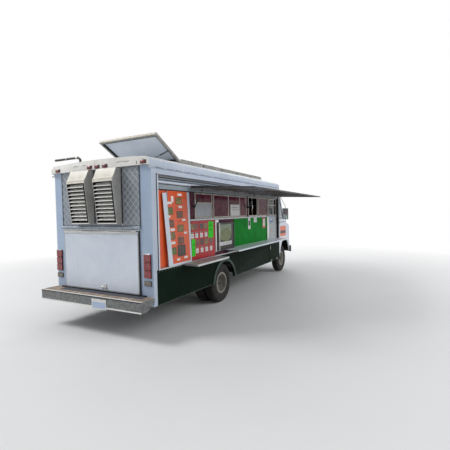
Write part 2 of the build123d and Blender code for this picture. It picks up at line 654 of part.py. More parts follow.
def exhaust():
    """Pipe with its silencer, hung beside the left rail, out through the skirt."""
    y, z = EXHAUST_Y, EXHAUST_Z
    pipe = bar((TAILPIPE_X, y, z), (BODY_FRONT + 150, y, z), PIPE_R) + bar((3300, y, z), (3950, y, z), 46)
    pipe += bar((TAILPIPE_X, y, z), (TAILPIPE_X, HALF_W + 30, z - TAILPIPE_DROP - 2), PIPE_R)
    for x in (1500, 3000, 4800):
        pipe += block((x - 12, x + 12), (y - 8, y + 8), (z, FLOOR_Z - FLOOR_T))
    return pipe


def quilted_panel():
    sheet = block((-QUILT_T, 0), (-QUILT_HALF_W, QUILT_HALF_W), QUILT_Z)
    for centre in VENT_CENTRES:
        half = VENT_W / 2 - VENT_FLANGE
        sheet -= block((-QUILT_T - 1, 1), (centre - half, centre + half), (VENT_FOOT + 40, VENT_BROW - 60))
    return sheet


def vent_front(z):
    """Distance of a vent's open front from the wall at height z."""
    share = (VENT_BROW_FOOT - z) / (VENT_BROW_FOOT - VENT_FOOT)
    return VENT_DEPTH[0] + share * (VENT_DEPTH[1] - VENT_DEPTH[0])


def rear_vent(centre):
    """Hooded louvre: two cheeks, a sloping brow and ten slats."""
    outline = [(-QUILT_T, VENT_TOP), (-VENT_DEPTH[0], VENT_BROW), (-VENT_DEPTH[0], VENT_BROW_FOOT),
               (-VENT_DEPTH[1], VENT_FOOT), (-QUILT_T, VENT_FOOT)]
    half = VENT_W / 2
    vent = side_prism(outline, centre - half, centre + half)
    s = VENT_SHEET
    hollow = [(1, VENT_TOP - 2 * s), (-VENT_DEPTH[0] + s, VENT_BROW - s), (-VENT_DEPTH[0] + s, VENT_BROW_FOOT - 1),
              (-VENT_DEPTH[0] - 60, VENT_BROW_FOOT - 1), (-VENT_DEPTH[0] - 60, VENT_FOOT + 3 * s),
              (1, VENT_FOOT + 3 * s)]
    vent -= side_prism(hollow, centre - half + s, centre + half - s)
    for i in range(SLATS):
        z = SLAT_TOP - i * SLAT_PITCH
        lip = -vent_front(z) + 4
        slat = [(lip, z), (lip + 66, z + 42), (lip + 66, z + 47), (lip + 3, z + 12), (lip, z + 12)]
        vent += side_prism(slat, centre - half + s - 1, centre + half - s + 1)
    return vent


def rear_trim():
    """Bright rail under the vents, and the strips round three sides of the hatch."""
    head, foot, proud = QUILT_Z[0], QUILT_Z[0] - 48, 14
    rail = block((-34, -QUILT_T), (-QUILT_HALF_W, QUILT_HALF_W), (foot, head))
    rail = fillet(rail.edges().filter_by(Axis.Y).sort_by(Axis.X)[:2], 14)
    trim = rail + block((-QUILT_T, 0), (-QUILT_HALF_W, QUILT_HALF_W), (foot, head))
    trim += block((-proud, 0), (-HATCH_HALF_W - 16, HATCH_HALF_W + 16), (foot - 22, foot))
    for side in (-1, 1):
        y = sorted((side * (HATCH_HALF_W + 5), side * (HATCH_HALF_W + 16)))
        trim += block((-proud, 0), y, (HATCH_Z[0], foot - 22))
    return trim


def rear_hatch():
    x = (-RUN_GAP - HATCH_T, -RUN_GAP)
    door = block(x, (-HATCH_HALF_W, HATCH_HALF_W), HATCH_Z)
    pull = block((x[0] - 28, x[0]), (-120, -40), (668, 688)) - block((x[0] - 18, x[0]), (-108, -52), (667, 689))
    hasp = block((x[0] - 10, x[0]), (-150, -128), (650, 720))
    hinge = bar((HATCH_HINGE[0], -HATCH_HALF_W + 30, HATCH_HINGE[1]),
                (HATCH_HINGE[0], HATCH_HALF_W - 30, HATCH_HINGE[1]), HATCH_HINGE_R)
    leaf = block((HATCH_HINGE[0] - 2, -6), (-HATCH_HALF_W + 30, HATCH_HALF_W - 30), (HATCH_Z[1] - 20, HATCH_HINGE[1]))
    return door + pull + hasp + hinge + leaf


def rear_bumper():
    """Folded step bumper: deck, face, lower lip and two end plates, with holes for a tow ball and a plate."""
    t, across = BUMPER_T, (-BUMPER_HALF_W, BUMPER_HALF_W)
    piece = block((BUMPER_X, 0), across, (BUMPER_Z[1] - t, BUMPER_Z[1]))
    piece += block((BUMPER_X, BUMPER_X + t), across, BUMPER_Z)
    piece += block((BUMPER_X, BUMPER_X + 40), across, (BUMPER_Z[0], BUMPER_Z[0] + t))
    for side in (-1, 1):
        y = sorted((side * BUMPER_HALF_W, side * (BUMPER_HALF_W - t)))
        piece += side_prism([(BUMPER_X, BUMPER_Z[1]), (BUMPER_X, BUMPER_Z[0]), (BUMPER_X + 120, BUMPER_Z[0]),
                             (-1, 540), (-1, BUMPER_Z[1])], *y)
    piece -= bar((TOW_HOLE_X, 0, 500), (TOW_HOLE_X, 0, 700), TOW_HOLE_R)
    for y in (PLATE_Y - PLATE_BOLTS / 2, PLATE_Y + PLATE_BOLTS / 2):
        piece -= bar((BUMPER_X - 10, y, PLATE_Z), (BUMPER_X + 20, y, PLATE_Z), PLATE_BOLT_R)
    return piece


def tail_lamps():
    """Stacked lamps and a reverse lamp on each side, and the row of markers on the fascia."""
    lamps = []
    for side in (-1, 1):
        y = sorted(side * edge for edge in LAMP_Y)
        for z in LAMP_ROWS:
            lamp = block((-24, -SEAT_GAP), y, (z, z + LAMP_H))
            lamps.append(fillet(lamp.edges().filter_by(Axis.X), 14))
        lamp = block((-20, -SEAT_GAP), y, REVERSE_LAMP_Z)
        lamps.append(fillet(lamp.edges().filter_by(Axis.X), 12))
    for y in MARKER_Y:
        lamp = block((-FASCIA_OUT - 26, -FASCIA_OUT - SEAT_GAP), (y - MARKER_HALF_W, y + MARKER_HALF_W), MARKER_Z)
        lamps.append(fillet(lamp.edges().filter_by(Axis.X), 10))
    return lamps


def bay_wall():
    """Recessed wall with its five window openings, its flange behind the outer wall, and its sill."""
    inside = BAY_FACE + BAY_WALL_T
    wall = block((BAY_X[0] - BAY_FLANGE, BAY_X[1] + BAY_FLANGE), (-HALF_W + WALL, inside),
                 (BELT_Z, BAY_TOP + BAY_FLANGE))
    wall -= block(BAY_X, (-HALF_W, BAY_FACE), (BELT_Z - 1, BAY_TOP))
    for x in WINDOWS:
        wall -= block(x, (BAY_FACE - 1, inside + 1), (SILL_Z, HEAD_Z))
    wall += block(BAY_X, (-HALF_W, BAY_FACE), (BELT_Z, BELT_Z + 5))
    wall += block((MENU_X[1] + 5, BAY_X[1]), (BAY_FACE - 30, BAY_FACE), (SILL_Z - 34, SILL_Z - 6))
    return wall


def window_frames():
    """Aluminium frames, some with a bar across and one with two uprights."""
    frames = []
    y = (BAY_FACE - 8, BAY_FACE + 14)
    thin = (y[0] + 4, y[1] - 4)
    for i, x in enumerate(WINDOWS):
        frame = block((x[0] + SEAT_GAP, x[1] - SEAT_GAP), y, (SILL_Z + SEAT_GAP, HEAD_Z - SEAT_GAP))
        frame -= block((x[0] + FRAME_W, x[1] - FRAME_W), (y[0] - 1, y[1] + 1), (SILL_Z + FRAME_W, HEAD_Z - FRAME_W))
        if i in SPLIT_WINDOWS:
            frame += block((x[0] + 20, x[1] - 20), thin, TRANSOM_Z)
        if i == TRIPLE_WINDOW:
            for mid in MULLIONS:
                frame += block((mid - 14, mid + 14), thin, (SILL_Z + 20, HEAD_Z - 20))
        frames.append(frame)
    return frames


def window_glass():
    """Panes in the bay and in the left side, each let into its frame."""
    edge = FRAME_W + SEAT_GAP
    full = (SILL_Z + edge, HEAD_Z - edge)
    panes = []
    for i, x in enumerate(WINDOWS):
        inner = (x[0] + edge, x[1] - edge)
        if i in SPLIT_WINDOWS:
            cells = [(inner, (full[0], TRANSOM_Z[0] - SEAT_GAP)), (inner, (TRANSOM_Z[1] + SEAT_GAP, full[1]))]
        elif i == TRIPLE_WINDOW:
            starts = (inner[0], *[mid + 14 + SEAT_GAP for mid in MULLIONS])
            ends = (*[mid - 14 - SEAT_GAP for mid in MULLIONS], inner[1])
            cells = [(span, full) for span in zip(starts, ends)]
        elif i == OPEN_WINDOW:
            cells = []
        else:
            cells = [(inner, full)]
        panes += [block(span, (BAY_FACE + 3, BAY_FACE + 7), z) for span, z in cells]
    x = (LEFT_WINDOW_X[0] + SEAT_GAP, LEFT_WINDOW_X[1] - SEAT_GAP)
    z = (LEFT_WINDOW_Z[0] + SEAT_GAP, LEFT_WINDOW_Z[1] - SEAT_GAP)
    panes.append(block(x, PANE_Y, z))
    return panes


def cab_glass():
    """Windscreen halves and quarter panes, each let into its opening."""
    panes = []
    low, high = SCREEN_Z[0] + RUN_GAP, SCREEN_Z[1] - RUN_GAP
    foot, head = screen_x(low), screen_x(high)
    outline = [(foot - 8, low), (foot - 15, low), (head - 15, high), (head - 8, high)]
    for side in (-1, 1):
        y = sorted((side * (SCREEN_Y[0] + RUN_GAP), side * (SCREEN_Y[1] - RUN_GAP)))
        panes.append(side_prism(outline, *y))
        y = sorted((side * (HALF_W - 8), side * (HALF_W - 13)))
        panes.append(side_prism(quarter_pane(RUN_GAP), *y))
    return panes


def menu_board():
    """Tall board that leans out at its foot, with its return panel behind."""
    back, head, foot = BAY_FACE - SEAT_GAP, HEAD_Z - 7, BELT_Z + 12
    face = [(back, head), (BAY_FACE - 26, head), (-HALF_W + 4, foot), (back, foot)]
    edges = Polyline(*[(MENU_X[0], y, z) for y, z in face], close=True)
    return cross_prism(edges, *MENU_X)


def board(name):
    x, z, thick = BOARDS[name]
    return block(x, (BAY_FACE - thick - SEAT_GAP, BAY_FACE - SEAT_GAP), z)


def bay_posts():
    """Uprights between the boards."""
    return [block(x, (BAY_FACE - 28, BAY_FACE - SEAT_GAP), (1082, BOARD_TOP)) for x in POSTS_X]


def bay_header():
    """Bands above the windows: a plain one, the grooved one over it, and the awning's hinge leaf."""
    x, back = (BAY_X[0] + 6, BAY_X[1] - 6), BAY_FACE - SEAT_GAP
    faces = [BAY_FACE - out for out in BAND_OUT]
    plain = block(x, (faces[0], back), BAND_Z[:2])
    grooved = block(x, (faces[1], back), (BAND_Z[2], BAY_TOP - 4))
    for drop in (36, 68, 100):
        z = BAY_TOP - drop
        grooved -= block(BAY_X, (faces[1] - 1, faces[1] + 8), (z - 5, z + 5))
    seat = faces[0] - SEAT_GAP
    leaf = block(AWNING_X, (HINGE_Y + HINGE_R + SEAT_GAP, seat), (HINGE_Z - 6, HINGE_Z + 8))
    leaf += block(AWNING_X, (seat - LEAF_T, seat), (BAND_Z[0] + 22, HINGE_Z))
    return [plain, grooved, leaf]


def awning():
    """Skin on a tube frame, drawn level from the hinge and then let down."""
    y = (HINGE_Y - AWNING_LEN, HINGE_Y - 12)
    low, high = HINGE_Z - AWNING_T[0], HINGE_Z + AWNING_T[1]
    x, rib = AWNING_X, AWNING_RIB
    panel = block(x, y, (high - AWNING_SKIN, high))
    panel += block(x, (y[1] - rib, y[1]), (low, high)) + block(x, (y[0], y[0] + rib), (low, high))
    pitch = (x[1] - x[0] - rib) / AWNING_BAYS
    for i in range(AWNING_BAYS + 1):
        start = x[0] + i * pitch
        panel += block((start, start + rib), y, (low, high))
    panel += bar((x[0], HINGE_Y, HINGE_Z), (x[1], HINGE_Y, HINGE_Z), HINGE_R)
    panel += block(x, (HINGE_Y - 14, HINGE_Y), (HINGE_Z - 4, HINGE_Z + 4))
    pin = (HINGE_Y - STRUT_ARM, HINGE_Z - STRUT_PIN_DROP)
    for at in STRUT_X:
        panel += block((at + 12, at + 18), (pin[0] - 20, pin[0] + 20), (pin[1] - 12, high))
    return turned(panel, (HINGE_Y, HINGE_Z), AWNING_DROOP)


def strut_ends(droop):
    """Wall pivot and awning pin as (y, z), with the awning let down by droop degrees."""
    pivot = (STRUT_PIVOT_Y, STRUT_PIVOT_Z)
    a = radians(droop)
    y = HINGE_Y - STRUT_ARM * cos(a) + STRUT_PIN_DROP * sin(a)
    z = HINGE_Z - STRUT_ARM * sin(a) - STRUT_PIN_DROP * cos(a)
    return pivot, (y, z)


def strut_size(droop):
    """Length of a gas strut and its lean out from upright, in degrees."""
    (y0, z0), (y1, z1) = strut_ends(droop)
    return sqrt((y1 - y0) ** 2 + (z1 - z0) ** 2), degrees(atan2(y0 - y1, z1 - z0))


def awning_strut(x):
    """Barrel on the bay jamb and rod to the awning's pin."""
    length, lean = strut_size(AWNING_DROOP)
    (y0, z0), _ = strut_ends(AWNING_DROOP)
    bore = bar((x, y0, z0 + 40), (x, y0, z0 + STRUT_BARREL + 1), ROD_R + RUN_GAP)
    barrel = bar((x, y0, z0 + 12), (x, y0, z0 + STRUT_BARREL), STRUT_R) + bar((x - 6, y0, z0), (x + 6, y0, z0), 14)
    barrel = barrel - bore - bar((x - 10, y0, z0), (x + 10, y0, z0), STRUT_PIN_R + RUN_GAP)
    rod = bar((x, y0, z0 + STRUT_BARREL - STRUT_ROD_IN), (x, y0, z0 + length - 8), ROD_R)
    rod += bar((x - 5, y0, z0 + length), (x + 5, y0, z0 + length), 11)
    rod -= bar((x - 10, y0, z0 + length), (x + 10, y0, z0 + length), 5)
    return turned(barrel, (y0, z0), lean), turned(rod, (y0, z0), lean)


def strut_brackets():
    """Studs on the service wall that carry the barrels."""
    studs = []
    (y0, z0), _ = strut_ends(AWNING_DROOP)
    for x in STRUT_X:
        plate = block((x - 20, x - 12), (y0 - 14, BAY_FACE - SEAT_GAP), (z0 - 24, z0 + 24))
        plate += bar((x - 14, y0, z0), (x + 9, y0, z0), STRUT_PIN_R)
        plate += block((x - 20, x + 30), (BAY_FACE - 5, BAY_FACE - SEAT_GAP), (z0 - 34, z0 + 34))
        studs.append(plate)
    return studs


def shelf():
    """Folding shelf: a tray with turned-down edges and a stiffener, on its hinge tube."""
    y = (-HALF_W - SHELF_DEPTH, -HALF_W - SHELF_HINGE_OUT)
    z = (SHELF_Z - SHELF_T, SHELF_Z)
    tray = block(SHELF_X, y, (z[1] - 4, z[1]))
    tray += block(SHELF_X, (y[0], y[0] + 5), z) + block(SHELF_X, (y[1] - 5, y[1]), z)
    for x in (SHELF_X[0] + 2.5, 0.5 * sum(SHELF_X), SHELF_X[1] - 2.5):
        tray += block((x - 2.5, x + 2.5), y, z)
    for x in SHELF_LUGS:
        tray -= block((x - 18, x + 18), (y[1] - 14, y[1] + 1), (z[0] - 1, z[1] - 4))
    return tray + bar((SHELF_X[0], y[1], SHELF_PIN_Z), (SHELF_X[1], y[1], SHELF_PIN_Z), SHELF_TUBE_R)


def shelf_lug(x):
    """Hinge lug that stands off the skirt and holds the shelf's tube."""
    y, r = -HALF_W - SHELF_HINGE_OUT, SHELF_TUBE_R + RUN_GAP
    span = (x - 12, x + 12)
    lug = block(span, (y, -HALF_W + 1), (SHELF_PIN_Z - 9, SHELF_PIN_Z + 9))
    lug += bar((span[0], y, SHELF_PIN_Z), (span[1], y, SHELF_PIN_Z), 9)
    return lug - bar((x - 20, y, SHELF_PIN_Z), (x + 20, y, SHELF_PIN_Z), r)


def front_ledge():
    """Fixed serving ledge on gusset brackets."""
    y = (-HALF_W - LEDGE_DEPTH, -HALF_W - SEAT_GAP)
    ledge = block(LEDGE_X, (y[0], BAY_FACE - SEAT_GAP), (LEDGE_Z - LEDGE_T, LEDGE_Z))
    ledge += block(LEDGE_X, (y[0], y[0] + LEDGE_T), (LEDGE_Z - 34, LEDGE_Z))
    for x in (2420, 3200, 4000, 4780, LEDGE_X[1] - 100):
        gusset = [(y[1], LEDGE_Z - 3), (y[1], LEDGE_Z - 74), (y[0] + 80, LEDGE_Z - 3)]
        points = [(x, py, pz) for py, pz in gusset]
        ledge += extrude(make_face(Polyline(*points, close=True)), amount=8, dir=(1, 0, 0))
    return ledge


def locker_door():
    x = (LOCKER_X[0] + DOOR_GAP, LOCKER_X[1] - DOOR_GAP)
    z = (LOCKER_Z[0] + DOOR_GAP, LOCKER_Z[1] - DOOR_GAP)
    door = block(x, (-HALF_W - 2, -HALF_W + 24), z)
    latch = block((x[0] + 30, x[0] + 62), (-HALF_W - 16, -HALF_W), (z[1] - 150, z[1] - 50))
    door += latch
    for at in LOCKER_HINGES:
        door += locker_knuckle(at, 1)
    return door


def locker_knuckle(x, side):
    """Half of a locker hinge: barrel and leaf, on the skirt (-1) or on the door (+1)."""
    y, z = LOCKER_PIN
    x0 = x if side > 0 else x - LOCKER_LEAF - RUN_GAP
    x1 = x0 + LOCKER_LEAF
    leaf_z = sorted((z, z + side * 26))
    return bar((x0, y, z), (x1, y, z), 5) + block((x0, x1), (y + 1, -HALF_W + 1), leaf_z)


def locker_box():
    """Open box behind the locker's door."""
    x, z, s = LOCKER_X, LOCKER_Z, LOCKER_SHEET
    y = (-HALF_W + WALL + SEAT_GAP, -HALF_W + WALL + LOCKER_DEPTH - 2)
    outer = block((x[0] + 1, x[1] - 1), y, z)
    return outer - block((x[0] + 1 + s, x[1] - 1 - s), (y[0] - 1, y[1] - s), (z[0] + s, z[1] - s))


def driver_door():
    """Hinged door with its window opening and a bow handle."""
    x = (DRIVER_DOOR_X[0] + DOOR_GAP, DRIVER_DOOR_X[1] - DOOR_GAP)
    z = (DRIVER_DOOR_Z[0] + DOOR_GAP, DRIVER_DOOR_Z[1] - DOOR_GAP)
    y = (HALF_W - WALL + 4, HALF_W)
    door = block(x, y, z) - block((x[0] + DRIVER_PANE_IN, x[1] - DRIVER_PANE_IN), (y[0] - 1, y[1] + 1), DRIVER_PANE_Z)
    handle = block((x[0] + 60, x[0] + 200), (HALF_W, HALF_W + 30), (1360, 1384))
    handle -= block((x[0] + 75, x[0] + 185), (HALF_W - 1, HALF_W + 18), (1359, 1385))
    door += handle
    for z0 in DOOR_HINGES:
        door += door_knuckle(z0, -1)
    return door


def door_knuckle(z, side):
    """Half of a door hinge: barrel and leaf, on the door (-1) or on the wall (+1)."""
    x, y = DOOR_PIN
    z0 = z if side < 0 else z - DOOR_LEAF - RUN_GAP
    z1 = z0 + DOOR_LEAF
    span = sorted((x, x + side * 24))
    return bar((x, y, z0), (x, y, z1), 6) + block(span, (HALF_W - 1, y - 1), (z0, z1))


def door_glass():
    edge = DOOR_GAP + DRIVER_PANE_IN + SEAT_GAP
    x = (DRIVER_DOOR_X[0] + edge, DRIVER_DOOR_X[1] - edge)
    return block(x, PANE_Y, (DRIVER_PANE_Z[0] + SEAT_GAP, DRIVER_PANE_Z[1] - SEAT_GAP))


def kitchen_unit():
    """Counter along the left wall, the splash back on it, and a sloping canopy above."""
    inner = HALF_W - WALL - SEAT_GAP
    x, near = (500, 4200), inner - 620
    well = (REAR_AXLE_X - ARCH_REAR_R - 48, REAR_AXLE_X + ARCH_REAR_R + 48)
    counter = block(x, (near, inner), (FLOOR_Z + 100, COUNTER_TOP))
    counter += block((x[0] + 20, x[1] - 20), (near + 60, inner), (FLOOR_Z, FLOOR_Z + 100))
    counter -= block(well, (near + 60, inner + 1), (FLOOR_Z - 1, WELL_TOP + 4))
    counter -= block((x[0] + 20, x[1] - 20), (near + 20, inner + 1), (WELL_TOP + 24, COUNTER_TOP - 20))
    hot = (1200, 3100)
    splash_back = block(hot, (inner - 20, inner), (COUNTER_TOP, CANOPY_Z[0]))
    low, slope_foot, high = CANOPY_Z
    section = [(inner, high), (inner - 420, high), (inner - 700, slope_foot), (inner - 700, low), (inner, low)]
    canopy = cross_prism(Polyline(*[(hot[0], y, z) for y, z in section], close=True), *hot)
    return [counter, splash_back, canopy]


def driver_seat():
    """Pedestal, cushion and raked back."""
    x = BODY_FRONT - 700
    pedestal = block((x, x + 300), (380, 680), (FLOOR_Z, 1080))
    cushion = block((x - 40, x + 440), (300, 760), (1080, 1180))
    rest = side_prism([(x - 10, 1180), (x + 80, 1180), (x + 10, 1760), (x - 70, 1760)], 310, 750)
    return pedestal + fillet(cushion.edges().filter_by(Axis.Y), 30) + rest


def dashboard():
    """Dash across the cab with the steering column and wheel."""
    inner = HALF_W - CAB_T - SEAT_GAP
    x, front = COWL[0], COWL[0] - CAB_T - 4
    shape = [(x - 230, 1180), (x - 280, 1400), (x - 160, 1520), (front, 1520), (front, 1180)]
    dash = side_prism(shape, -inner, inner)
    centre = Vector(x - 540, 530, 1330)
    foot = Vector(x - 220, 530, 1240)
    wheel_plane = Plane(origin=centre, z_dir=foot - centre)
    wheel = wheel_plane * Torus(205, 13)
    spokes = wheel_plane * (Box(410, 22, 12) + Box(22, 410, 12))
    return dash + bar(tuple(centre), tuple(foot), 24) + wheel + spokes


def mirrors():
    """Tall mirrors on tube arms, with a foot on each cab pillar and roof rail."""
    x, foot, out = BODY_FRONT + 26, HALF_W + RUN_GAP, HALF_W + 190
    left = bar((x, out, 1540), (x, out, 2020), 9)
    for z_foot, z_out in ((1520, 1560), (EAVES_Z - 175, 2000)):
        left += block((x - 14, x + 14), (foot, foot + 8), (z_foot - 30, z_foot + 30))
        left += bar((x, foot + 8, z_foot), (x, out, z_out), 8)
    head = block((x - 24, x + 24), (HALF_W + 105, HALF_W + 275), (1610, 1940))
    left += fillet(head.edges().filter_by(Axis.X), 24)
    return mirrored(left)


def framed_panel(x, z, thick):
    """Flat panel: a frame all round and a sheet let into its top."""
    frame = block(x, PANEL_Y, (z - thick, z))
    under = [(span[0] + PANEL_FRAME, span[1] - PANEL_FRAME) for span in (x, PANEL_Y)]
    top = [(span[0] + PANEL_FRAME - 22, span[1] - PANEL_FRAME + 22) for span in (x, PANEL_Y)]
    frame -= block(*under, (z - thick - 1, z - 10))
    frame -= block(*top, (z - 3, z + 1))
    return frame


def roof_panels():
    """Row of flat panels on two rails that stand on the roof, with the tilting panel's hinge ears."""
    z = PANEL_HINGE[1] + 24
    start = PANEL_HINGE[0] + 45
    row = None
    for i in range(ROW_COUNT):
        x0 = start + i * (ROW_LEN + ROW_GAP)
        one = framed_panel((x0, x0 + ROW_LEN), z, PANEL_T)
        row = one if row is None else row + one
    end = start + ROW_COUNT * (ROW_LEN + ROW_GAP) - ROW_GAP
    hull = roof_hull()
    for y in RAIL_PANEL_Y:
        x, pin_z = PANEL_HINGE
        rail = block((x - 30, end), (y - PANEL_RAIL_HALF, y + PANEL_RAIL_HALF), (ROOF_SHOULDER, z - PANEL_T))
        rail += block((x - 12, x + 12), (y - EAR / 2, y + EAR / 2), (z - PANEL_T - 1, pin_z + 10))
        rail -= bar((x, y - EAR, pin_z), (x, y + EAR, pin_z), PIN_R + RUN_GAP)
        row += rail - hull
    for i in range(1, ROW_COUNT):
        x0 = start + i * (ROW_LEN + ROW_GAP) - ROW_GAP / 2
        for y in (PANEL_Y[0] + 90, PANEL_Y[1] - 90):
            row += block((x0 - 34, x0 + 34), (y - 26, y + 26), (z - PANEL_T, z + 12))
    return row


def tilt_panel():
    """Rear roof panel, raised on its hinge, with slots for the hinge ears and a lug for its stay."""
    x = (PANEL_HINGE[0] - PANEL_LEN, PANEL_HINGE[0])
    z = PANEL_HINGE[1] + PANEL_T - 12
    panel = framed_panel(x, z, PANEL_T)
    for y in RAIL_PANEL_Y:
        panel -= block((x[1] - 22, x[1] + 1), (y - EAR / 2 - 5, y + EAR / 2 + 5), (z - PANEL_T - 1, z + 1))
        panel += bar((x[1], y - 26, PANEL_HINGE[1]), (x[1], y + 26, PANEL_HINGE[1]), PIN_R)
    pin_x, pin_z = PANEL_HINGE[0] - STAY_ARM, PANEL_HINGE[1] - STAY_DROP
    panel += block((pin_x - 12, pin_x + 12), (STAY_Y + 8 + RUN_GAP, STAY_Y + 14), (pin_z - 8, z - 9))
    return pitched(panel, PANEL_HINGE, PANEL_TILT)


def stay_ends(tilt):
    """Roof foot and panel pin of the stay, as (x, z)."""
    a = radians(tilt)
    x = PANEL_HINGE[0] - STAY_ARM * cos(a) - STAY_DROP * sin(a)
    z = PANEL_HINGE[1] + STAY_ARM * sin(a) - STAY_DROP * cos(a)
    return STAY_FOOT, (x, z)


def stay():
    """Small gas strut: barrel to the panel, rod to the roof, both in one line."""
    (x0, z0), (x1, z1) = stay_ends(PANEL_TILT)
    length = sqrt((x1 - x0) ** 2 + (z1 - z0) ** 2)
    ux, uz = (x0 - x1) / length, (z0 - z1) / length
    y = STAY_Y

    def along(d):
        return (x1 + ux * d, y, z1 + uz * d)

    barrel = bar(along(6), along(230), 8) + bar((x1, y - 8, z1), (x1, y + 8, z1), 9)
    barrel -= bar(along(40), along(231), ROD_R + RUN_GAP)
    rod = bar(along(126), along(length - 6), ROD_R) + bar((x0, y - 5, z0), (x0, y + 5, z0), 9)
    return barrel, rod


def stay_bracket():
    x, z = STAY_FOOT
    plate = block((x - 22, x + 22), (STAY_Y - 13, STAY_Y - 5 - RUN_GAP), (ROOF_SHOULDER, z + 10))
    return plate - roof_hull()


def roof_pipe():
    """Bent vent pipe at the rear left of the roof."""
    x, y = VENT_PIPE
    foot, top = ROOF_TOP - 80, VENT_PIPE_TOP
    route = FilletPolyline((x, y, foot), (x, y, top - 40), (x, y + 60, top), (x, HALF_W + 400, top), radius=24)
    section = Plane(origin=(x, y, foot), z_dir=(0, 0, 1)) * Circle(VENT_PIPE_R)
    flange = bar((x, y, foot - 40), (x, y, ROOF_TOP + 2), 60)
    return sweep(section, path=route) + flange - roof_hull()


def all_pieces():
    """Every node and its solids."""
    pieces = {
        "roof": roof(), "rear_wall": rear_wall(), "right_wall": right_wall(), "left_wall": left_wall(),
        "skirts": [skirt(-1), skirt(1)], "floor": floor(), "cab_shell": cab_shell(), "hood": hood(),
        "grille": grille(), "lamps": headlamps() + tail_lamps(), "front_bumper": front_bumper(),
        "chassis": chassis(), "front_axle": front_axle(), "rear_axle": rear_axle(), "engine": engine(),
        "tank_and_exhaust": [fuel_tank(), exhaust()], "quilted_panel": quilted_panel(),
        "rear_vents": [rear_vent(centre) for centre in VENT_CENTRES], "rear_trim": rear_trim(),
        "rear_hatch": rear_hatch(), "rear_bumper": rear_bumper(), "bay_wall": bay_wall(),
        "window_frames": window_frames(), "glazing": window_glass() + cab_glass(),
        "menu_board": menu_board(), "counter_boards": [board(name) for name in BOARDS],
        "bay_trim": bay_posts() + bay_header() + strut_brackets(), "awning": awning(), "shelf": shelf(),
        "front_ledge": front_ledge(), "locker_door": locker_door(), "locker_box": locker_box(),
        "driver_door": driver_door(), "door_glass": door_glass(), "kitchen_unit": kitchen_unit(),
        "cab_interior": [driver_seat(), dashboard()], "mirrors": mirrors(), "roof_panels": roof_panels(),
        "tilt_panel": tilt_panel(), "roof_pipe": roof_pipe(), "stay_bracket": stay_bracket(),
    }
    for label, x in zip(("rear", "front"), STRUT_X):
        barrel, rod = awning_strut(x)
        pieces["strut_barrel_" + label] = barrel
        pieces["strut_rod_" + label] = rod
    pieces["stay_barrel"], pieces["stay_rod"] = stay()
    for label, side in (("right", -1), ("left", 1)):
        pieces["knuckle_" + label] = knuckle(side)
        pieces["front_tyre_" + label], pieces["front_rim_" + label] = front_wheel(side)
        pieces["rear_tyres_" + label], pieces["rear_rims_" + label] = rear_wheel(side)
    return pieces


def main():
    """Writes one STEP file a node, centred on the ground under the whole truck."""
    os.makedirs("parts", exist_ok=True)
    pieces = {name: Compound(s) if isinstance(s, list) else s for name, s in all_pieces().items()}
    boxes = [shape.bounding_box() for shape in pieces.values()]
    low = [min(getattr(box.min, a) for box in boxes) for a in "XY"]
    high = [max(getattr(box.max, a) for box in boxes) for a in "XY"]
    shift = (-(low[0] + high[0]) / 2, -(low[1] + high[1]) / 2)
    for name, shape in pieces.items():
        export_step(Pos(shift[0], shift[1], 0) * shape, f"parts/{name}.step")


main()
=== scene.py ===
"""Looks of a step-van food truck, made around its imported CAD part.

Pieces are drawn in metres in the truck's own frame, as the part's source is: X forward from the
rear wall, Y to the left from the centreline, Z up from the ground.  made() moves them into place.
"""
import bmesh
import bpy
import json
from math import cos, pi, radians, sin, sqrt
from mathutils import Matrix, Vector


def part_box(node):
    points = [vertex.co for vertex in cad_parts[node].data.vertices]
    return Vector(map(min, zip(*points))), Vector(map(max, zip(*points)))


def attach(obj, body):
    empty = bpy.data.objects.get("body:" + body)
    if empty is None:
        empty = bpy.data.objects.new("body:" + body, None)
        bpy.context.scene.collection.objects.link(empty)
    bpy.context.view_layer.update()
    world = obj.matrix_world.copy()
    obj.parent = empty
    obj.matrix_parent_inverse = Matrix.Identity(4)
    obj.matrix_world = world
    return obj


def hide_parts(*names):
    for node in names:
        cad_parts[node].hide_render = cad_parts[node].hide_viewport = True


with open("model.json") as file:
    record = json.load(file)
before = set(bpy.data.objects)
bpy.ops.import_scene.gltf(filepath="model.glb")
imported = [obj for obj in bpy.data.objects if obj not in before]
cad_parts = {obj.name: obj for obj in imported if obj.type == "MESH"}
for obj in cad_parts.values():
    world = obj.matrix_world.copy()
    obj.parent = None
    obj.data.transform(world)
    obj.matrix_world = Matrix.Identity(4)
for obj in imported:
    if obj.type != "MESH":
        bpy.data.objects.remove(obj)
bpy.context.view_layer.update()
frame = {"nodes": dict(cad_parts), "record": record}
NODES = frame["nodes"]
BODY_OF = {node: body for body, nodes in frame["record"]["behaviour"]["bodies"].items() for node in nodes}
SLOT_OF = {name: node.material_slots[0].name for name, node in NODES.items()}
WALL_LOW, WALL_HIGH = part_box("rear_wall")
ORIGIN = Vector((WALL_LOW.x, (WALL_LOW.y + WALL_HIGH.y) / 2, 0))
HALF_W = (WALL_HIGH.y - WALL_LOW.y) / 2
SIDES = (-1, 1)                         # right and left of the centreline


# Camera, where the photograph was taken from
def look(place, yaw, pitch, roll):
    ahead = Vector((cos(yaw) * cos(pitch), sin(yaw) * cos(pitch), sin(pitch)))
    level = Vector((sin(yaw), -cos(yaw), 0))
    right = cos(roll) * level - sin(roll) * level.cross(ahead)
    turn = Matrix((right, right.cross(ahead), -ahead)).transposed()
    return Matrix.Translation(place) @ turn.to_4x4()


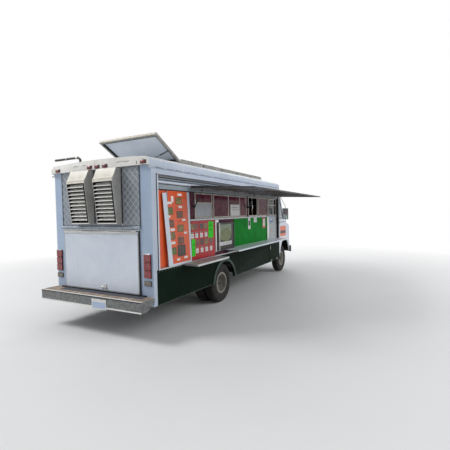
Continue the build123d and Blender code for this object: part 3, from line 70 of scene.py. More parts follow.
camera = bpy.data.objects.new("camera", bpy.data.cameras.new("camera"))
camera.data.lens, camera.data.sensor_width = 27.12, 36
camera.data.clip_start, camera.data.clip_end = 0.05, 200
camera.matrix_world = look(ORIGIN + Vector((-3.892, -4.35, 1.835)),
                           radians(27.842), radians(-2.041), radians(1.086))
bpy.context.collection.objects.link(camera)
bpy.context.scene.camera = camera


# Materials

def srgb(code):
    """Linear colour of an sRGB hex value."""
    parts = [int(code[i:i + 2], 16) / 255 for i in (1, 3, 5)]
    return (*[c / 12.92 if c <= 0.04045 else ((c + 0.055) / 1.055) ** 2.4 for c in parts], 1)


def add(tree, kind, *first, **wants):
    """Adds a node.  The first inputs may be given in order; each word is a setting or an input's name.

    An input takes a value, a socket, or a node, which stands for its first output.
    """
    family = next(f for f in ("ShaderNode", "GeometryNode", "Node") if hasattr(bpy.types, f + kind))
    node = tree.nodes.new(family + kind)
    inputs = dict(enumerate(first))
    for word, value in wants.items():
        socket = word.replace("_", " ")
        if socket in node.inputs:
            inputs[socket] = value
        else:
            setattr(node, word, value)
    for word, value in inputs.items():
        if isinstance(value, bpy.types.Node):
            value = value.outputs[0]
        if isinstance(value, bpy.types.NodeSocket):
            tree.links.new(value, node.inputs[word])
        else:
            node.inputs[word].default_value = value
    return node


def surface(name, **shader):
    """New material: its tree, its shader and the Object coordinates, in metres."""
    material = bpy.data.materials.new(name)
    material.use_nodes = True
    tree = material.node_tree
    bsdf = tree.nodes["Principled BSDF"]
    for word, value in shader.items():
        bsdf.inputs[word.replace("_", " ")].default_value = value
    return material, tree, bsdf, add(tree, "TexCoord").outputs["Object"]


def drive(tree, bsdf, **nodes):
    """Leads the first output of each node into the shader's input of that name."""
    for word, node in nodes.items():
        tree.links.new(node.outputs[0], bsdf.inputs[word.replace("_", " ")])


def finish(name, colour, worn, patch, rough, grain, relief=0.0002, cover=(0.4, 0.75),
           stretch=(1, 1, 1), drips=None, dust=None, **shader):
    """Weathered surface.

    worn shows in soft patches about patch metres across, where the noise lies past cover.
    rough is the range of roughness, grain the size of the finest marks and relief their height.
    stretch draws the grain out along an axis.  drips is a colour that runs down the surface, dust
    one that gathers low down.
    """
    material, tree, bsdf, place = surface(name, **shader)
    clouds = add(tree, "TexNoise", Vector=place, Scale=1 / patch, Detail=7.0, Roughness=0.62)
    share = add(tree, "MapRange", Value=clouds, From_Min=cover[0], From_Max=cover[1])
    colours = add(tree, "MixRGB", Fac=share, Color1=srgb(colour), Color2=srgb(worn))
    if drips:
        runs = add(tree, "Mapping", Vector=place, Scale=(13, 13, 0.7))
        marks = add(tree, "TexNoise", Vector=runs, Scale=1.0, Detail=5.0, Roughness=0.7)
        share = add(tree, "MapRange", Value=marks, From_Min=0.54, From_Max=0.9, To_Max=0.8)
        colours = add(tree, "MixRGB", Fac=share, Color1=colours, Color2=srgb(drips))
    if dust:
        height = add(tree, "SeparateXYZ", Vector=place)
        low = add(tree, "MapRange", Value=height.outputs[2], From_Min=1.0, From_Max=0.35, To_Max=0.75)
        broken = add(tree, "Math", low, clouds, operation="MULTIPLY")
        colours = add(tree, "MixRGB", Fac=broken, Color1=colours, Color2=srgb(dust))
    drawn = add(tree, "Mapping", Vector=place, Scale=stretch)
    fine = add(tree, "TexNoise", Vector=drawn, Scale=1 / grain, Detail=3.0)
    sheen = add(tree, "MapRange", Value=fine, From_Min=0.3, From_Max=0.7,
                To_Min=rough[0], To_Max=rough[1])
    bump = add(tree, "Bump", Height=fine, Distance=relief, Strength=0.6)
    drive(tree, bsdf, Base_Color=colours, Roughness=sheen, Normal=bump)
    return material


SPRAYED = {"Coat_Weight": 0.2, "Coat_Roughness": 0.2}
CHALKED = {"Coat_Weight": 0.1, "Coat_Roughness": 0.3}
FINE_LINES = (1, 0.06, 1)               # grain drawn out across the truck

# Sprayed enamel on sheet aluminium: a soft gloss over faint waves, with grey runs under the seams
white_enamel = finish("white_enamel", "#DAE1EB", "#C6CFDB", 0.7, (0.34, 0.5), 0.05, 0.0005, drips="#BAC1C8",
                      **SPRAYED)
# Warm cream on the vent hoods and the band of the hatch rail: painted sunlight
sunlit_cream_enamel = finish("sunlit_cream_enamel", "#EAE5D8", "#D3CBB8", 0.35, (0.42, 0.6), 0.03, 0.0005,
                      cover=(0.42, 0.8), drips="#BDB6A6", **CHALKED)
# Fascia over the rear wall, and the hatch: the whitest panels; the fascia's warm white is painted sunlight,
# used also for sunlit strips on the bumper
sunlit_fascia_enamel = finish("sunlit_fascia_enamel", "#F3F1EC", "#DEDAD0", 0.3, (0.4, 0.58), 0.03, 0.0005,
                       cover=(0.42, 0.8), drips="#CFCABF", **CHALKED)
hatch_enamel = finish("hatch_enamel", "#E3EAF4", "#D2DCE9", 0.5, (0.34, 0.5), 0.05, 0.0005, drips="#D3D8DE",
                      **SPRAYED)
# Rear corner posts: a bluer grey white, painted shade
post_shade_enamel = finish("corner_post_painted_shade", "#AEC0D7", "#9DB0C9", 0.6, (0.36, 0.52), 0.05, 0.0005,
                     drips="#A9B5C4", **SPRAYED)
# Side walls and fascias: a bluer grey than the nose and the rear wall, painted shade
side_shade_enamel = finish("side_shade_enamel", "#C4CDDB", "#B1BDCD", 0.7, (0.36, 0.52), 0.05, 0.0005, drips="#A3ACB7",
                     **SPRAYED)
# Frame of the tilted roof panel: the same cream of painted sunlight, greyed by the weather; the grey, also
# on the other frames, is painted shade on their sides
frame_sunlit_cream = finish("weathered_frame_sunlit_cream", "#D5CCBC", "#A79F92", 0.05, (0.5, 0.65), 0.01, 0.0003,
                     cover=(0.4, 0.7))
frame_shade_grey = finish("weathered_frame_shade_grey", "#A3A19C", "#77746E", 0.06, (0.45, 0.6), 0.008, 0.0003,
                    cover=(0.4, 0.7), Metallic=0.2)
grey_enamel = finish("greyed_band_enamel", "#8A95A3", "#707A86", 0.12, (0.4, 0.55), 0.02, 0.0003,
                     cover=(0.4, 0.7), drips="#6B7074")
# Head of the serving bay: greyed lip over the bands, and the plain band at their foot
lip_enamel = finish("greyed_lip_enamel", "#7F8083", "#625F5C", 0.08, (0.45, 0.6), 0.012, 0.0003,
                    cover=(0.4, 0.7))
plain_band = finish("plain_band_enamel", "#929BA3", "#7C858C", 0.2, (0.42, 0.58), 0.02, 0.0003,
                    drips="#6E747A")
window_frame = finish("beige_window_frame", "#C4BDB2", "#9C958B", 0.08, (0.4, 0.55), 0.006, 0.0001,
                      Metallic=0.2)
# Roof skin: the same enamel, chalked by the sun and grimed along its length
roof_enamel = finish("chalked_roof_enamel", "#DDE1E4", "#B3B5B3", 0.5, (0.5, 0.7), 0.03, 0.0007,
                     cover=(0.45, 0.85))
# Dark green enamel, dulled by road dust low down
green_enamel = finish("green_enamel", "#05170D", "#092015", 0.5, (0.55, 0.7), 0.04, 0.0004, drips="#0E2418",
                      dust="#17231B", Specular_IOR_Level=0.06)
faded_green = finish("faded_green_lip", "#30493D", "#24382E", 0.12, (0.4, 0.6), 0.01)
# Bright sheet metals: fine drawn lines, with roughness that follows them
stainless = finish("brushed_stainless", "#C2C3C2", "#A6A8A8", 0.4, (0.24, 0.42), 0.0025, 0.00006,
                   stretch=FINE_LINES, Metallic=1.0)
quilted_stainless = finish("quilted_stainless", "#8B9299", "#777F87", 0.3, (0.46, 0.6), 0.004, 0.00008,
                           Metallic=0.35)


def crossing(tree, across, up):
    """Two waves that are zero along the crossed creases of a quilted sheet."""
    swells = []
    for operation in ("ADD", "SUBTRACT"):
        line = add(tree, "Math", across, up, operation=operation)
        turn = add(tree, "Math", line, pi, operation="MULTIPLY")
        wave = add(tree, "Math", turn, operation="SINE")
        swells.append(add(tree, "Math", wave, operation="ABSOLUTE"))
    return swells


def crease_highlight(material, wide, high, middle):
    """Paints a highlight along the crossed creases of the quilted sheet, on diamonds wide by high about
    middle.
    """
    tree = material.node_tree
    target = tree.nodes["Principled BSDF"].inputs["Base Color"]
    spot = add(tree, "TexCoord").outputs["Object"]
    place = add(tree, "SeparateXYZ", Vector=spot).outputs
    across = add(tree, "Math", place[1], wide, operation="DIVIDE")
    lifted = add(tree, "Math", place[2], middle, operation="SUBTRACT")
    up = add(tree, "Math", lifted, high, operation="DIVIDE")
    swells = crossing(tree, across, up)
    nearest = add(tree, "Math", swells[0], swells[1], operation="MINIMUM")
    share = add(tree, "MapRange", Value=nearest, From_Min=0.34, From_Max=0.08, To_Max=0.7)
    mix = add(tree, "MixRGB", Fac=share, Color1=target.links[0].from_socket,
              Color2=srgb("#B3B8BE"))
    tree.links.new(mix.outputs[0], target)


DIAMOND, QUILT_Z, QUILT_HALF = (0.109, 0.113), (1.66, 2.56), 0.876
QUILT_MIDDLE = sum(QUILT_Z) / 2
crease_highlight(quilted_stainless, *DIAMOND, QUILT_MIDDLE)
# Joints of the rear sheets: old sealant, grimed to slate
grimed_joint = finish("grimed_joint", "#4C525C", "#3A3E46", 0.1, (0.55, 0.7), 0.006)
bright_slat = finish("bright_slat", "#FAF9F4", "#E2DFD6", 0.08, (0.3, 0.5), 0.003, 0.00008,
                     stretch=FINE_LINES)
cheek_sheet = finish("dull_vent_sheet", "#BDBBB6", "#A4A29D", 0.16, (0.45, 0.6), 0.006, 0.0002,
                     drips="#94918A", Metallic=0.1)
rail_sheet = finish("greyed_rail_sheet", "#98A3AF", "#79838E", 0.1, (0.35, 0.5), 0.004, 0.0001,
                    stretch=FINE_LINES, Metallic=0.35)
aluminium = finish("mill_aluminium", "#B4B8BC", "#94989D", 0.25, (0.3, 0.5), 0.003, 0.00008,
                   stretch=(0.08, 1, 1), Metallic=0.9)
anodised = finish("anodised_frame", "#D3D5D4", "#B6B9BA", 0.2, (0.28, 0.4), 0.002, 0.00004, Metallic=0.8)
galvanised = finish("weathered_galvanised_steel", "#848889", "#5F5D58", 0.05, (0.45, 0.65), 0.012, 0.0003,
                    cover=(0.4, 0.7), drips="#5F5346", Metallic=0.5)
# Deck of the step bumper: bare boards of steel, rubbed tan by boots and dust
worn_deck = finish("worn_bumper_deck", "#B09C8A", "#6B5E54", 0.09, (0.6, 0.85), 0.006, 0.0006,
                   cover=(0.38, 0.66), Metallic=0.1)
# Dark band over the inner part of the deck, next to the hatch: painted shadow of the body
deck_shadow_mat = finish("painted_deck_shadow", "#4A4D55", "#35373C", 0.08, (0.7, 0.85), 0.006, 0.0008)
chrome = finish("polished_chrome", "#D9DADB", "#B9BBBD", 0.1, (0.06, 0.16), 0.02, 0.00003, Metallic=1.0)
zinc = finish("zinc_plated_steel", "#B8B6AE", "#8F8B80", 0.03, (0.35, 0.55), 0.003, Metallic=0.85)
# Black paints and castings: dull, greyed with dust and rust
black_paint = finish("satin_black_paint", "#1B1B1D", "#2B2A29", 0.15, (0.35, 0.55), 0.004)
chassis_paint = finish("chassis_black", "#1F1E1D", "#4A3B30", 0.12, (0.55, 0.8), 0.008, 0.0005,
                       cover=(0.5, 0.8), dust="#6B6459")
boxes_brown = finish("brown_boxes", "#B0652C", "#6E3A1A", 0.1, (0.6, 0.8), 0.004)
casting = finish("plain_iron_casting", "#4A4A4B", "#5C5249", 0.08, (0.6, 0.8), 0.003, 0.0007, Metallic=0.4)
rusty_steel = finish("heat_browned_steel", "#5A4A40", "#7A4E32", 0.06, (0.6, 0.85), 0.004, 0.0005,
                     cover=(0.35, 0.7), Metallic=0.4)
# Near black on insides, under the vent brows and on the sheets behind the grille and the slats: painted
# shade
shade_black_inside = finish("shade_black_inside", "#0C0C0D", "#151413", 0.2, (0.7, 0.9), 0.01)
awning_under = finish("browned_awning_lining", "#8C9099", "#60544A", 0.45, (0.45, 0.65), 0.02, 0.0004,
                      cover=(0.38, 0.6))
# Printed boards: flat ink under a thin gloss film, faded in patches
orange_print = finish("orange_printed_board", "#E55A22", "#CF4A1A", 0.3, (0.3, 0.42), 0.01, 0.00005,
                      Coat_Weight=0.2)
red_print = finish("red_printed_board", "#C0222D", "#9A1B26", 0.15, (0.32, 0.44), 0.01, 0.00005,
                   Specular_IOR_Level=0.3, Coat_Weight=0.1)
green_print = finish("green_painted_board", "#078A2A", "#057023", 0.14, (0.55, 0.7), 0.02, 0.0003,
                     cover=(0.4, 0.7), drips="#20953A", Specular_IOR_Level=0.1)
neon_paper = finish("neon_green_card", "#2BE01E", "#22C41B", 0.1, (0.6, 0.75), 0.003)
white_paper = finish("white_paper", "#EDEDEA", "#DAD9D4", 0.06, (0.6, 0.8), 0.002)
grey_paper = finish("shaded_paper", "#B9BCC0", "#A2A5AA", 0.2, (0.6, 0.8), 0.002)
pale_blue_paper = finish("pale_blue_field", "#BCCBE2", "#A7BADA", 0.03, (0.45, 0.55), 0.003)
blue_paper = finish("blue_sticker", "#4E7FC0", "#3A69A8", 0.05, (0.4, 0.5), 0.003)
dark_print = finish("dark_print", "#241A18", "#3A2A22", 0.03, (0.35, 0.5), 0.004)
maroon_wall = finish("maroon_wall_enamel", "#43232E", "#6E3F4E", 0.05, (0.5, 0.65), 0.02, 0.0004,
                     cover=(0.38, 0.62), Specular_IOR_Level=0.12)
service_metal = finish("dulled_service_panel", "#B9BEC0", "#969C9F", 0.07, (0.35, 0.5), 0.01,
                       cover=(0.35, 0.6), Metallic=0.3)
# Rubbers and plastics
tyre_rubber = finish("tyre_rubber", "#121212", "#242220", 0.09, (0.75, 0.92), 0.003, 0.0003, dust="#2F2C29")
seal_rubber = finish("seal_rubber", "#111112", "#1D1D1E", 0.05, (0.6, 0.75), 0.002)
dash_plastic = finish("moulded_dash_plastic", "#26272A", "#303134", 0.1, (0.5, 0.65), 0.0018, 0.0002)
seat_vinyl = finish("seat_vinyl", "#2D2F33", "#3C3D40", 0.08, (0.42, 0.58), 0.0025, 0.00025)
wheel_enamel = finish("wheel_enamel", "#96938B", "#6F6A61", 0.05, (0.4, 0.6), 0.006, cover=(0.42, 0.72),
                      drips="#6E5B49", Metallic=0.1)
floor_plate = finish("floor_plate", "#8C9092", "#6E7072", 0.1, (0.4, 0.6), 0.02, 0.0006, Metallic=0.7)


def lens(name, colour, deep, pitch, through):
    """Moulded lens: glossy coloured plastic with fine prisms pitch metres apart behind its face."""
    material, tree, bsdf, place = surface(name, Roughness=0.12, Coat_Weight=0.6, Coat_Roughness=0.05,
                                          Transmission_Weight=through, IOR=1.49)
    prisms = add(tree, "TexWave", Vector=place, bands_direction="Z", Scale=0.314 / pitch,
                 Distortion=0.3, Detail=1.0)
    grime = add(tree, "TexNoise", Vector=place, Scale=30.0, Detail=4.0)
    mix = add(tree, "MixRGB", Fac=grime, Color1=srgb(colour), Color2=srgb(deep))
    bump = add(tree, "Bump", Height=prisms, Distance=0.0012, Strength=0.7)
    drive(tree, bsdf, Base_Color=mix, Normal=bump)
    return material


red_lens = lens("red_lens", "#B3141E", "#6E0C13", 0.012, 0.15)
marker_lens = lens("plain_marker_lens", "#8E1E2A", "#5F121B", 0.4, 0.1)
dulled_lens = lens("dulled_lens", "#857F70", "#57503F", 0.014, 0.1)
amber_lens = lens("amber_lens", "#D9701A", "#A8480C", 0.01, 0.15)
clear_lens = lens("clear_lens", "#DDE3E6", "#B4BCC0", 0.014, 0.5)


def glass(name, tint, dirt, share, through, **shader):
    """Window glass: a smooth clear sheet with a thin uneven film of dirt."""
    material, tree, bsdf, place = surface(name, IOR=1.5, Transmission_Weight=through, **shader)
    film = add(tree, "TexNoise", Vector=place, Scale=9.0, Detail=6.0, Roughness=0.65)
    amount = add(tree, "MapRange", Value=film, From_Min=0.4, From_Max=0.75, To_Max=share)
    mix = add(tree, "MixRGB", Fac=amount, Color1=srgb(tint), Color2=srgb(dirt))
    rough = add(tree, "MapRange", Value=film, From_Min=0.35, From_Max=0.8, To_Min=0.03, To_Max=0.22)
    drive(tree, bsdf, Base_Color=mix, Roughness=rough)
    return material


clear_glass = glass("window_glass", "#C9D6D8", "#9AA5A6", 0.5, 0.85, Coat_Weight=0.3)
# Filmed glass of the serving side: a dull maroon film that is mottled where it has faded
filmed_glass = glass("maroon_filmed_glass", "#4A1828", "#8A4358", 1.0, 0.0, Specular_IOR_Level=0.08)
smoked_glass = glass("smoked_glass", "#14181B", "#3D464C", 0.8, 0.15, Specular_IOR_Level=0.2)
mirror_glass = finish("mirror_glass", "#DDE2E4", "#CCD2D4", 0.1, (0.02, 0.06), 0.05, 0.00001, Metallic=1.0)


def dish(name, ground, lumps, leaf):
    """Printed picture of a plate of food: soft lumps in warm colours on a coloured ground."""
    material, tree, bsdf, place = surface(name, Roughness=0.35, Coat_Weight=0.2)
    heaps = add(tree, "TexVoronoi", Vector=place, Scale=38.0, feature="SMOOTH_F1", Randomness=1.0)
    bits = add(tree, "TexNoise", Vector=place, Scale=55.0, Detail=5.0, Distortion=0.6)
    ramp = add(tree, "ValToRGB", Fac=bits)
    stops = ramp.color_ramp.elements
    stops[0].position, stops[0].color = 0.36, srgb(ground)
    stops[1].position, stops[1].color = 0.64, srgb(lumps)
    stops.new(0.52).color = srgb(leaf)
    share = add(tree, "MapRange", Value=heaps, From_Min=0.1, From_Max=0.6, To_Max=0.8)
    mix = add(tree, "MixRGB", Fac=share, Color1=ramp, Color2=srgb(ground))
    drive(tree, bsdf, Base_Color=mix)
    return material


dish_gold = dish("printed_dish_gold", "#5A3B1C", "#E0B45A", "#7E8A3A")
dish_brown = dish("printed_dish_brown", "#3C2A1E", "#B98A5E", "#8C3A24")
dish_olive = dish("printed_dish_olive", "#3E4A16", "#9DA03A", "#6E7A22")
dish_dark = dish("printed_dish_dark", "#1E1512", "#6E5A4E", "#3C2A20")
dish_pale = dish("printed_dish_pale", "#5F6E58", "#C4C8B8", "#477A3A")


def cells():
    """Face of a framed roof panel: dark blue cells with pale lines between them."""
    material, tree, bsdf, place = surface("roof_panel_cells", Roughness=0.22, Coat_Weight=1.0,
                                          Coat_Roughness=0.04)
    grid = add(tree, "TexBrick", Vector=place, Scale=1.0, Brick_Width=0.156, Row_Height=0.156,
               Mortar_Size=0.003, offset=0.0, squash=1.0, Color1=srgb("#101A33"), Color2=srgb("#16223F"),
               Mortar=srgb("#8E98A6"))
    fade = add(tree, "TexNoise", Vector=place, Scale=3.0, Detail=6.0)
    share = add(tree, "MapRange", Value=fade, From_Min=0.45, From_Max=0.9, To_Max=0.5)
    mix = add(tree, "MixRGB", Fac=share, Color1=grid, Color2=srgb("#59606B"))
    drive(tree, bsdf, Base_Color=mix)
    return material


panel_cells = cells()
panel_back = finish("panel_back_sheet", "#E2E8F0", "#D2D9E3", 0.3, (0.45, 0.6), 0.02, 0.0002)


# Shapes

class Form:
    """Solids of one piece, in the truck's frame, each face with its finish's number."""

    def __init__(self):
        self.mesh = bmesh.new()

    def skin(self, rings, finish=0, closed=False):
        """Faces between rings of points, and a cap on each end unless the last meets the first."""
        made = [[self.mesh.verts.new(p) for p in ring] for ring in rings]
        count = len(made[0])
        faces = []
        for a, b in zip(made, made[1:] + made[:1] if closed else made[1:]):
            for i in range(count):
                j = (i + 1) % count
                faces.append(self.mesh.faces.new((a[i], a[j], b[j], b[i])))
        if not closed:
            faces += [self.mesh.faces.new(made[0][::-1]), self.mesh.faces.new(made[-1])]
        for face in faces:
            face.material_index = finish
        return self

    def block(self, x, y, z, finish=0, turn=None):
        """Box between the two ends of each range, turned if asked."""
        rings = [[Vector((a, b, c)) for a, b in ((x[0], y[0]), (x[1], y[0]), (x[1], y[1]), (x[0], y[1]))]
                 for c in z]
        if turn:
            rings = [[turn @ p for p in ring] for ring in rings]
        return self.skin(rings, finish)

    def blocks(self, *rows, turn=None):
        """Boxes given as x0, x1, y0, y1, z0, z1 and the number of their finish."""
        for x0, x1, y0, y1, z0, z1, finish in rows:
            self.block((x0, x1), (y0, y1), (z0, z1), finish, turn)
        return self

    def slab(self, outline, sweep, finish=0):
        """Outline of points carried along sweep."""
        first = [Vector(p) for p in outline]
        return self.skin([first, [p + Vector(sweep) for p in first]], finish)

    def tube(self, points, radius, sides=12, finish=0):
        """Round bar along a line of points, turning with it."""
        points = [Vector(p) for p in points]
        heading = (points[1] - points[0]).normalized()
        side = heading.orthogonal().normalized()
        rings = []
        for i, point in enumerate(points):
            ahead = (points[min(i + 1, len(points) - 1)] - points[max(i - 1, 0)]).normalized()
            side = (side - ahead * side.dot(ahead)).normalized()
            other = ahead.cross(side)
            r = radius[i] if isinstance(radius, (list, tuple)) else radius
            rings.append([point + r * (cos(a) * side + sin(a) * other)
                          for a in (2 * pi * k / sides for k in range(sides))])
        return self.skin(rings, finish)

    def lathe(self, centre, axis, profile, steps=32, finish=0, closed=False):
        """Profile of (radius, height) pairs turned about axis through centre."""
        centre, axis = Vector(centre), Vector(axis).normalized()
        side = axis.orthogonal().normalized()
        other = axis.cross(side)
        rings = [[centre + axis * h + r * (cos(a) * side + sin(a) * other)
                  for a in (2 * pi * k / steps for k in range(steps))] for r, h in profile]
        return self.skin(rings, finish, closed)

    def border(self, corners, radius):
        """Round bead along the edges of a closed outline."""
        for a, b in zip(corners, corners[1:] + corners[:1]):
            self.tube([a, b], radius, 8)
        return self


def placed(name, data, body="truck_body", slot="white_paint"):
    """Puts a finished mesh in the scene, riding on its body."""
    data.name = name
    piece = bpy.data.objects.new(name, data)
    bpy.context.collection.objects.link(piece)
    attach(piece, body)
    return piece


def made(form, name, finishes, body="truck_body", slot="white_paint", bevel=0.0, smooth=35, stands_for=()):
    """Turns a form into a piece of the truck, with its edges softened by bevel."""
    mesh = form.mesh if isinstance(form, Form) else form
    bmesh.ops.translate(mesh, verts=mesh.verts, vec=ORIGIN)
    bmesh.ops.recalc_face_normals(mesh, faces=mesh.faces)
    data = bpy.data.meshes.new(name)
    mesh.to_mesh(data)
    mesh.free()
    for material in finishes if isinstance(finishes, tuple) else (finishes,):
        data.materials.append(material)
    data.polygons.foreach_set("use_smooth", [True] * len(data.polygons))
    data.set_sharp_from_angle(angle=radians(smooth))
    piece = placed(name, data, body, slot)
    if bevel:
        edge = piece.modifiers.new("edges", "BEVEL")
        edge.width, edge.segments, edge.limit_method, edge.angle_limit = bevel, 2, "ANGLE", radians(40)
        edge.harden_normals = True
    if stands_for:
        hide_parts(*stands_for)
    return piece


def solids_of(mesh):
    """Vertices of each separate solid of a mesh."""
    seen, solids = set(), []
    for first in mesh.verts:
        if first in seen:
            continue
        seen.add(first)
        solid = [first]
        for vert in solid:
            for edge in vert.link_edges:
                other = edge.other_vert(vert)
                if other not in seen:
                    seen.add(other)
                    solid.append(other)
        solids.append(solid)
    return solids


def dressed(node, finishes, paint=None, name=None, only=None, shape=None, bevel=0.0015, smooth=35):
    """Copy of a CAD node, or of some of its solids, with softened edges and a finish on each face.

    paint takes a face's centre and facing, in the truck's frame, and gives its finish's number,
    or None to leave the face out.
    only takes a solid's lowest and highest corner and says whether the piece has it.
    shape takes a point and gives where the real piece has it, where the CAD is a little off.
    """
    mesh = bmesh.new()
    mesh.from_mesh(NODES[node].data)
    bmesh.ops.remove_doubles(mesh, verts=mesh.verts, dist=0.00002)
    bmesh.ops.translate(mesh, verts=mesh.verts, vec=-ORIGIN)
    if only:
        unwanted = []
        for solid in solids_of(mesh):
            low, high = (Vector([end(v.co[i] for v in solid) for i in range(3)]) for end in (min, max))
            if not only(low, high):
                unwanted += solid
        bmesh.ops.delete(mesh, geom=unwanted, context="VERTS")
    for vert in mesh.verts if shape else ():
        vert.co = shape(vert.co)
    bmesh.ops.dissolve_limit(mesh, angle_limit=radians(0.6), verts=mesh.verts, edges=mesh.edges)
    bmesh.ops.recalc_face_normals(mesh, faces=mesh.faces)
    dropped = []
    for face in mesh.faces:
        number = paint(face.calc_center_median(), face.normal) if paint else 0
        if number is None:
            dropped.append(face)
        else:
            face.material_index = number
    bmesh.ops.delete(mesh, geom=dropped, context="FACES")
    name = name or node + "_dressed"
    return made(mesh, name, finishes, BODY_OF[node], SLOT_OF[node], bevel, smooth, (node,))


def repaint(finish, *nodes):
    """A CAD node keeps its mesh and takes a better material."""
    for node in nodes:
        for slot in NODES[node].material_slots:
            slot.material = finish


# Shapes repeated by geometry nodes

def growth(name, makes, **takes):
    """Empty geometry nodes tree with its named inputs and one output: the tree and what it is given."""
    tree = bpy.data.node_groups.new(name, "GeometryNodeTree")
    for word, kind in takes.items():
        tree.interface.new_socket(word.replace("_", " "), in_out="INPUT", socket_type="NodeSocket" + kind)
    tree.interface.new_socket(makes, in_out="OUTPUT", socket_type="NodeSocketGeometry")
    return tree, add(tree, "GroupInput").outputs


def grown(name, tree, start, sizes):
    """Plain mesh that a geometry nodes tree makes from a starting mesh and its named sizes."""
    holder = bpy.data.objects.new(name + "_start", start)
    bpy.context.collection.objects.link(holder)
    modifier = holder.modifiers.new("growth", "NODES")
    modifier.node_group = tree
    for socket in tree.interface.items_tree:
        if socket.in_out == "INPUT" and socket.name in sizes:
            modifier[socket.identifier] = sizes[socket.name]
    bpy.context.view_layer.update()
    result = bpy.data.meshes.new_from_object(holder.evaluated_get(bpy.context.evaluated_depsgraph_get()))
    holder.modifiers.remove(modifier)
    bpy.data.objects.remove(holder)
    return result


def head_rows():
    """Sets a squashed ball every Pitch along the lines it is given."""
    tree, given = growth("heads_along_lines", "Heads", Lines="Geometry", Pitch="Float", Head_radius="Float",
                         Squash="Vector", Finish="Material")
    curve = add(tree, "MeshToCurve", Mesh=given["Lines"])
    spaced = add(tree, "ResampleCurve", mode="LENGTH", Curve=curve, Length=given["Pitch"])
    ball = add(tree, "MeshUVSphere", Segments=8, Rings=5, Radius=given["Head radius"])
    heads = add(tree, "InstanceOnPoints", Points=spaced, Instance=ball, Scale=given["Squash"])
    real = add(tree, "RealizeInstances", Geometry=heads)
    coated = add(tree, "SetMaterial", Geometry=real, Material=given["Finish"])
    smooth = add(tree, "SetShadeSmooth", Geometry=coated)
    add(tree, "GroupOutput", Heads=smooth)
    return tree


HEADS = head_rows()


def rivets(name, lines, pitch, radius, squash, finish, body="truck_body", slot="white_paint"):
    """Rows of heads along lines, given as pairs of points in the truck's frame."""
    start = bpy.data.meshes.new(name + "_lines")
    points = [Vector(p) + ORIGIN for line in lines for p in line]
    start.from_pydata(points, [(i, i + 1) for i in range(0, len(points), 2)], [])
    sizes = {"Pitch": pitch, "Head radius": radius, "Squash": squash, "Finish": finish}
    return placed(name, grown(name, HEADS, start, sizes), body, slot)


def span(middle, half):
    """Range that reaches half to each side of its middle."""
    return middle - half, middle + half


def off(side, near, far):
    """Range from near to far off the centreline, on one side."""
    return sorted((side * near, side * far))


def head(radius, edge, top, height, foot=0):
    """Profile of a bolt's or knob's head: straight up to edge, then in to the top's radius."""
    return (0, foot), (radius, foot), (radius, edge), (top, height), (0, height)


def turned(place, angle, axis):
    """Turn by an angle about an axis through a place."""
    place = Vector(place)
    return Matrix.Translation(place) @ Matrix.Rotation(angle, 4, axis) @ Matrix.Translation(-place)


def upright(x0, x1, y, z0, z1):
    """Corners of an upright rectangle that faces sideways."""
    return [(x0, y, z0), (x1, y, z0), (x1, y, z1), (x0, y, z1)]


def line(x, y, z):
    """Two points, from the one range that is given among x, y and z."""
    return list(zip(*[c if isinstance(c, tuple) else (c, c) for c in (x, y, z)]))


# Body panels

SKIRT_TOP, EAVES, ROOF_TOP, NOSE_X = 0.993, 2.525, 2.72, 6.8
BAY_FACE = -HALF_W + 0.06
TYRE_R, REAR_AXLE_X, FRONT_AXLE_X = 0.4, 2.226, 6.216


def roof_paint(p, n):
    """Chalked on top, the warm white of painted sunlight at the rear, painted shade on the sides, and
    near-black painted shade on the inside.
    """
    if p.x > 0.02 and abs(p.y) < HALF_W - 0.02 and p.z < ROOF_TOP - 0.02 and (n.z < -0.2 or p.y * n.y < 0):
        return 3
    return 1 if n.x < -0.7 else 2 if abs(n.y) > 0.8 else 0


def skirt_paint(p, n):
    """Faded on the lip round the rear wheel."""
    if abs(p.y) < HALF_W + 0.0005:
        return 0
    return 1 if sqrt((p.x - REAR_AXLE_X) ** 2 + (p.z - TYRE_R) ** 2) < 0.51 else 2


def cab_paint(p, n):
    """Near-black painted shade inside the nose and on the wheel arches; its chamfered corners are outside,
    so white.
    """
    within = p.z < 1.5 and abs(p.y) < HALF_W - 0.02 and p.x < NOSE_X - 0.02
    corner = n.x > 0.2 and n.y * p.y > 0
    return 1 if within and not corner and (n.z < 0.3 or p.z < 1.15) else 0


dressed("roof", (roof_enamel, sunlit_fascia_enamel, side_shade_enamel, shade_black_inside), roof_paint, bevel=0.004)
# Rear wall: its rear faces in the posts' painted shade, its inside near-black painted shade, its other faces
# in the sides' painted shade
dressed("rear_wall", (side_shade_enamel, shade_black_inside, post_shade_enamel), bevel=0.002,
        paint=lambda p, n: 1 if n.x > 0.7 else 2 if n.x < -0.5 else 0)
# Side walls in the sides' painted shade; the left wall's inside faces near black, painted shade as well
dressed("right_wall", side_shade_enamel, bevel=0.002)
dressed("left_wall", (side_shade_enamel, shade_black_inside), bevel=0.002,
        paint=lambda p, n: 1 if n.y < -0.7 and p.y < HALF_W - 0.02 else 0)
# The slot between the rear wall and the fascia, beside the quilted sheet, is closed by two strips in the
# posts' painted shade
closing = Form()
for side in SIDES:
    closing.block((0.0, 0.004), off(side, 0.868, 1.05), (2.5255, 2.5618))
made(closing, "fascia_closing_strips", post_shade_enamel, bevel=0.0005)
dressed("skirts", (green_enamel, faded_green, zinc), skirt_paint, bevel=0.0012)
dressed("cab_shell", (white_enamel, shade_black_inside), cab_paint, bevel=0.002, smooth=50)
dressed("hood", white_enamel, bevel=0.003)
dressed("driver_door", (white_enamel, chrome, zinc), bevel=0.002,
        paint=lambda p, n: 0 if p.y < HALF_W + 0.0005 else 2 if p.x > 5.5 else 1)
repaint(floor_plate, "floor")
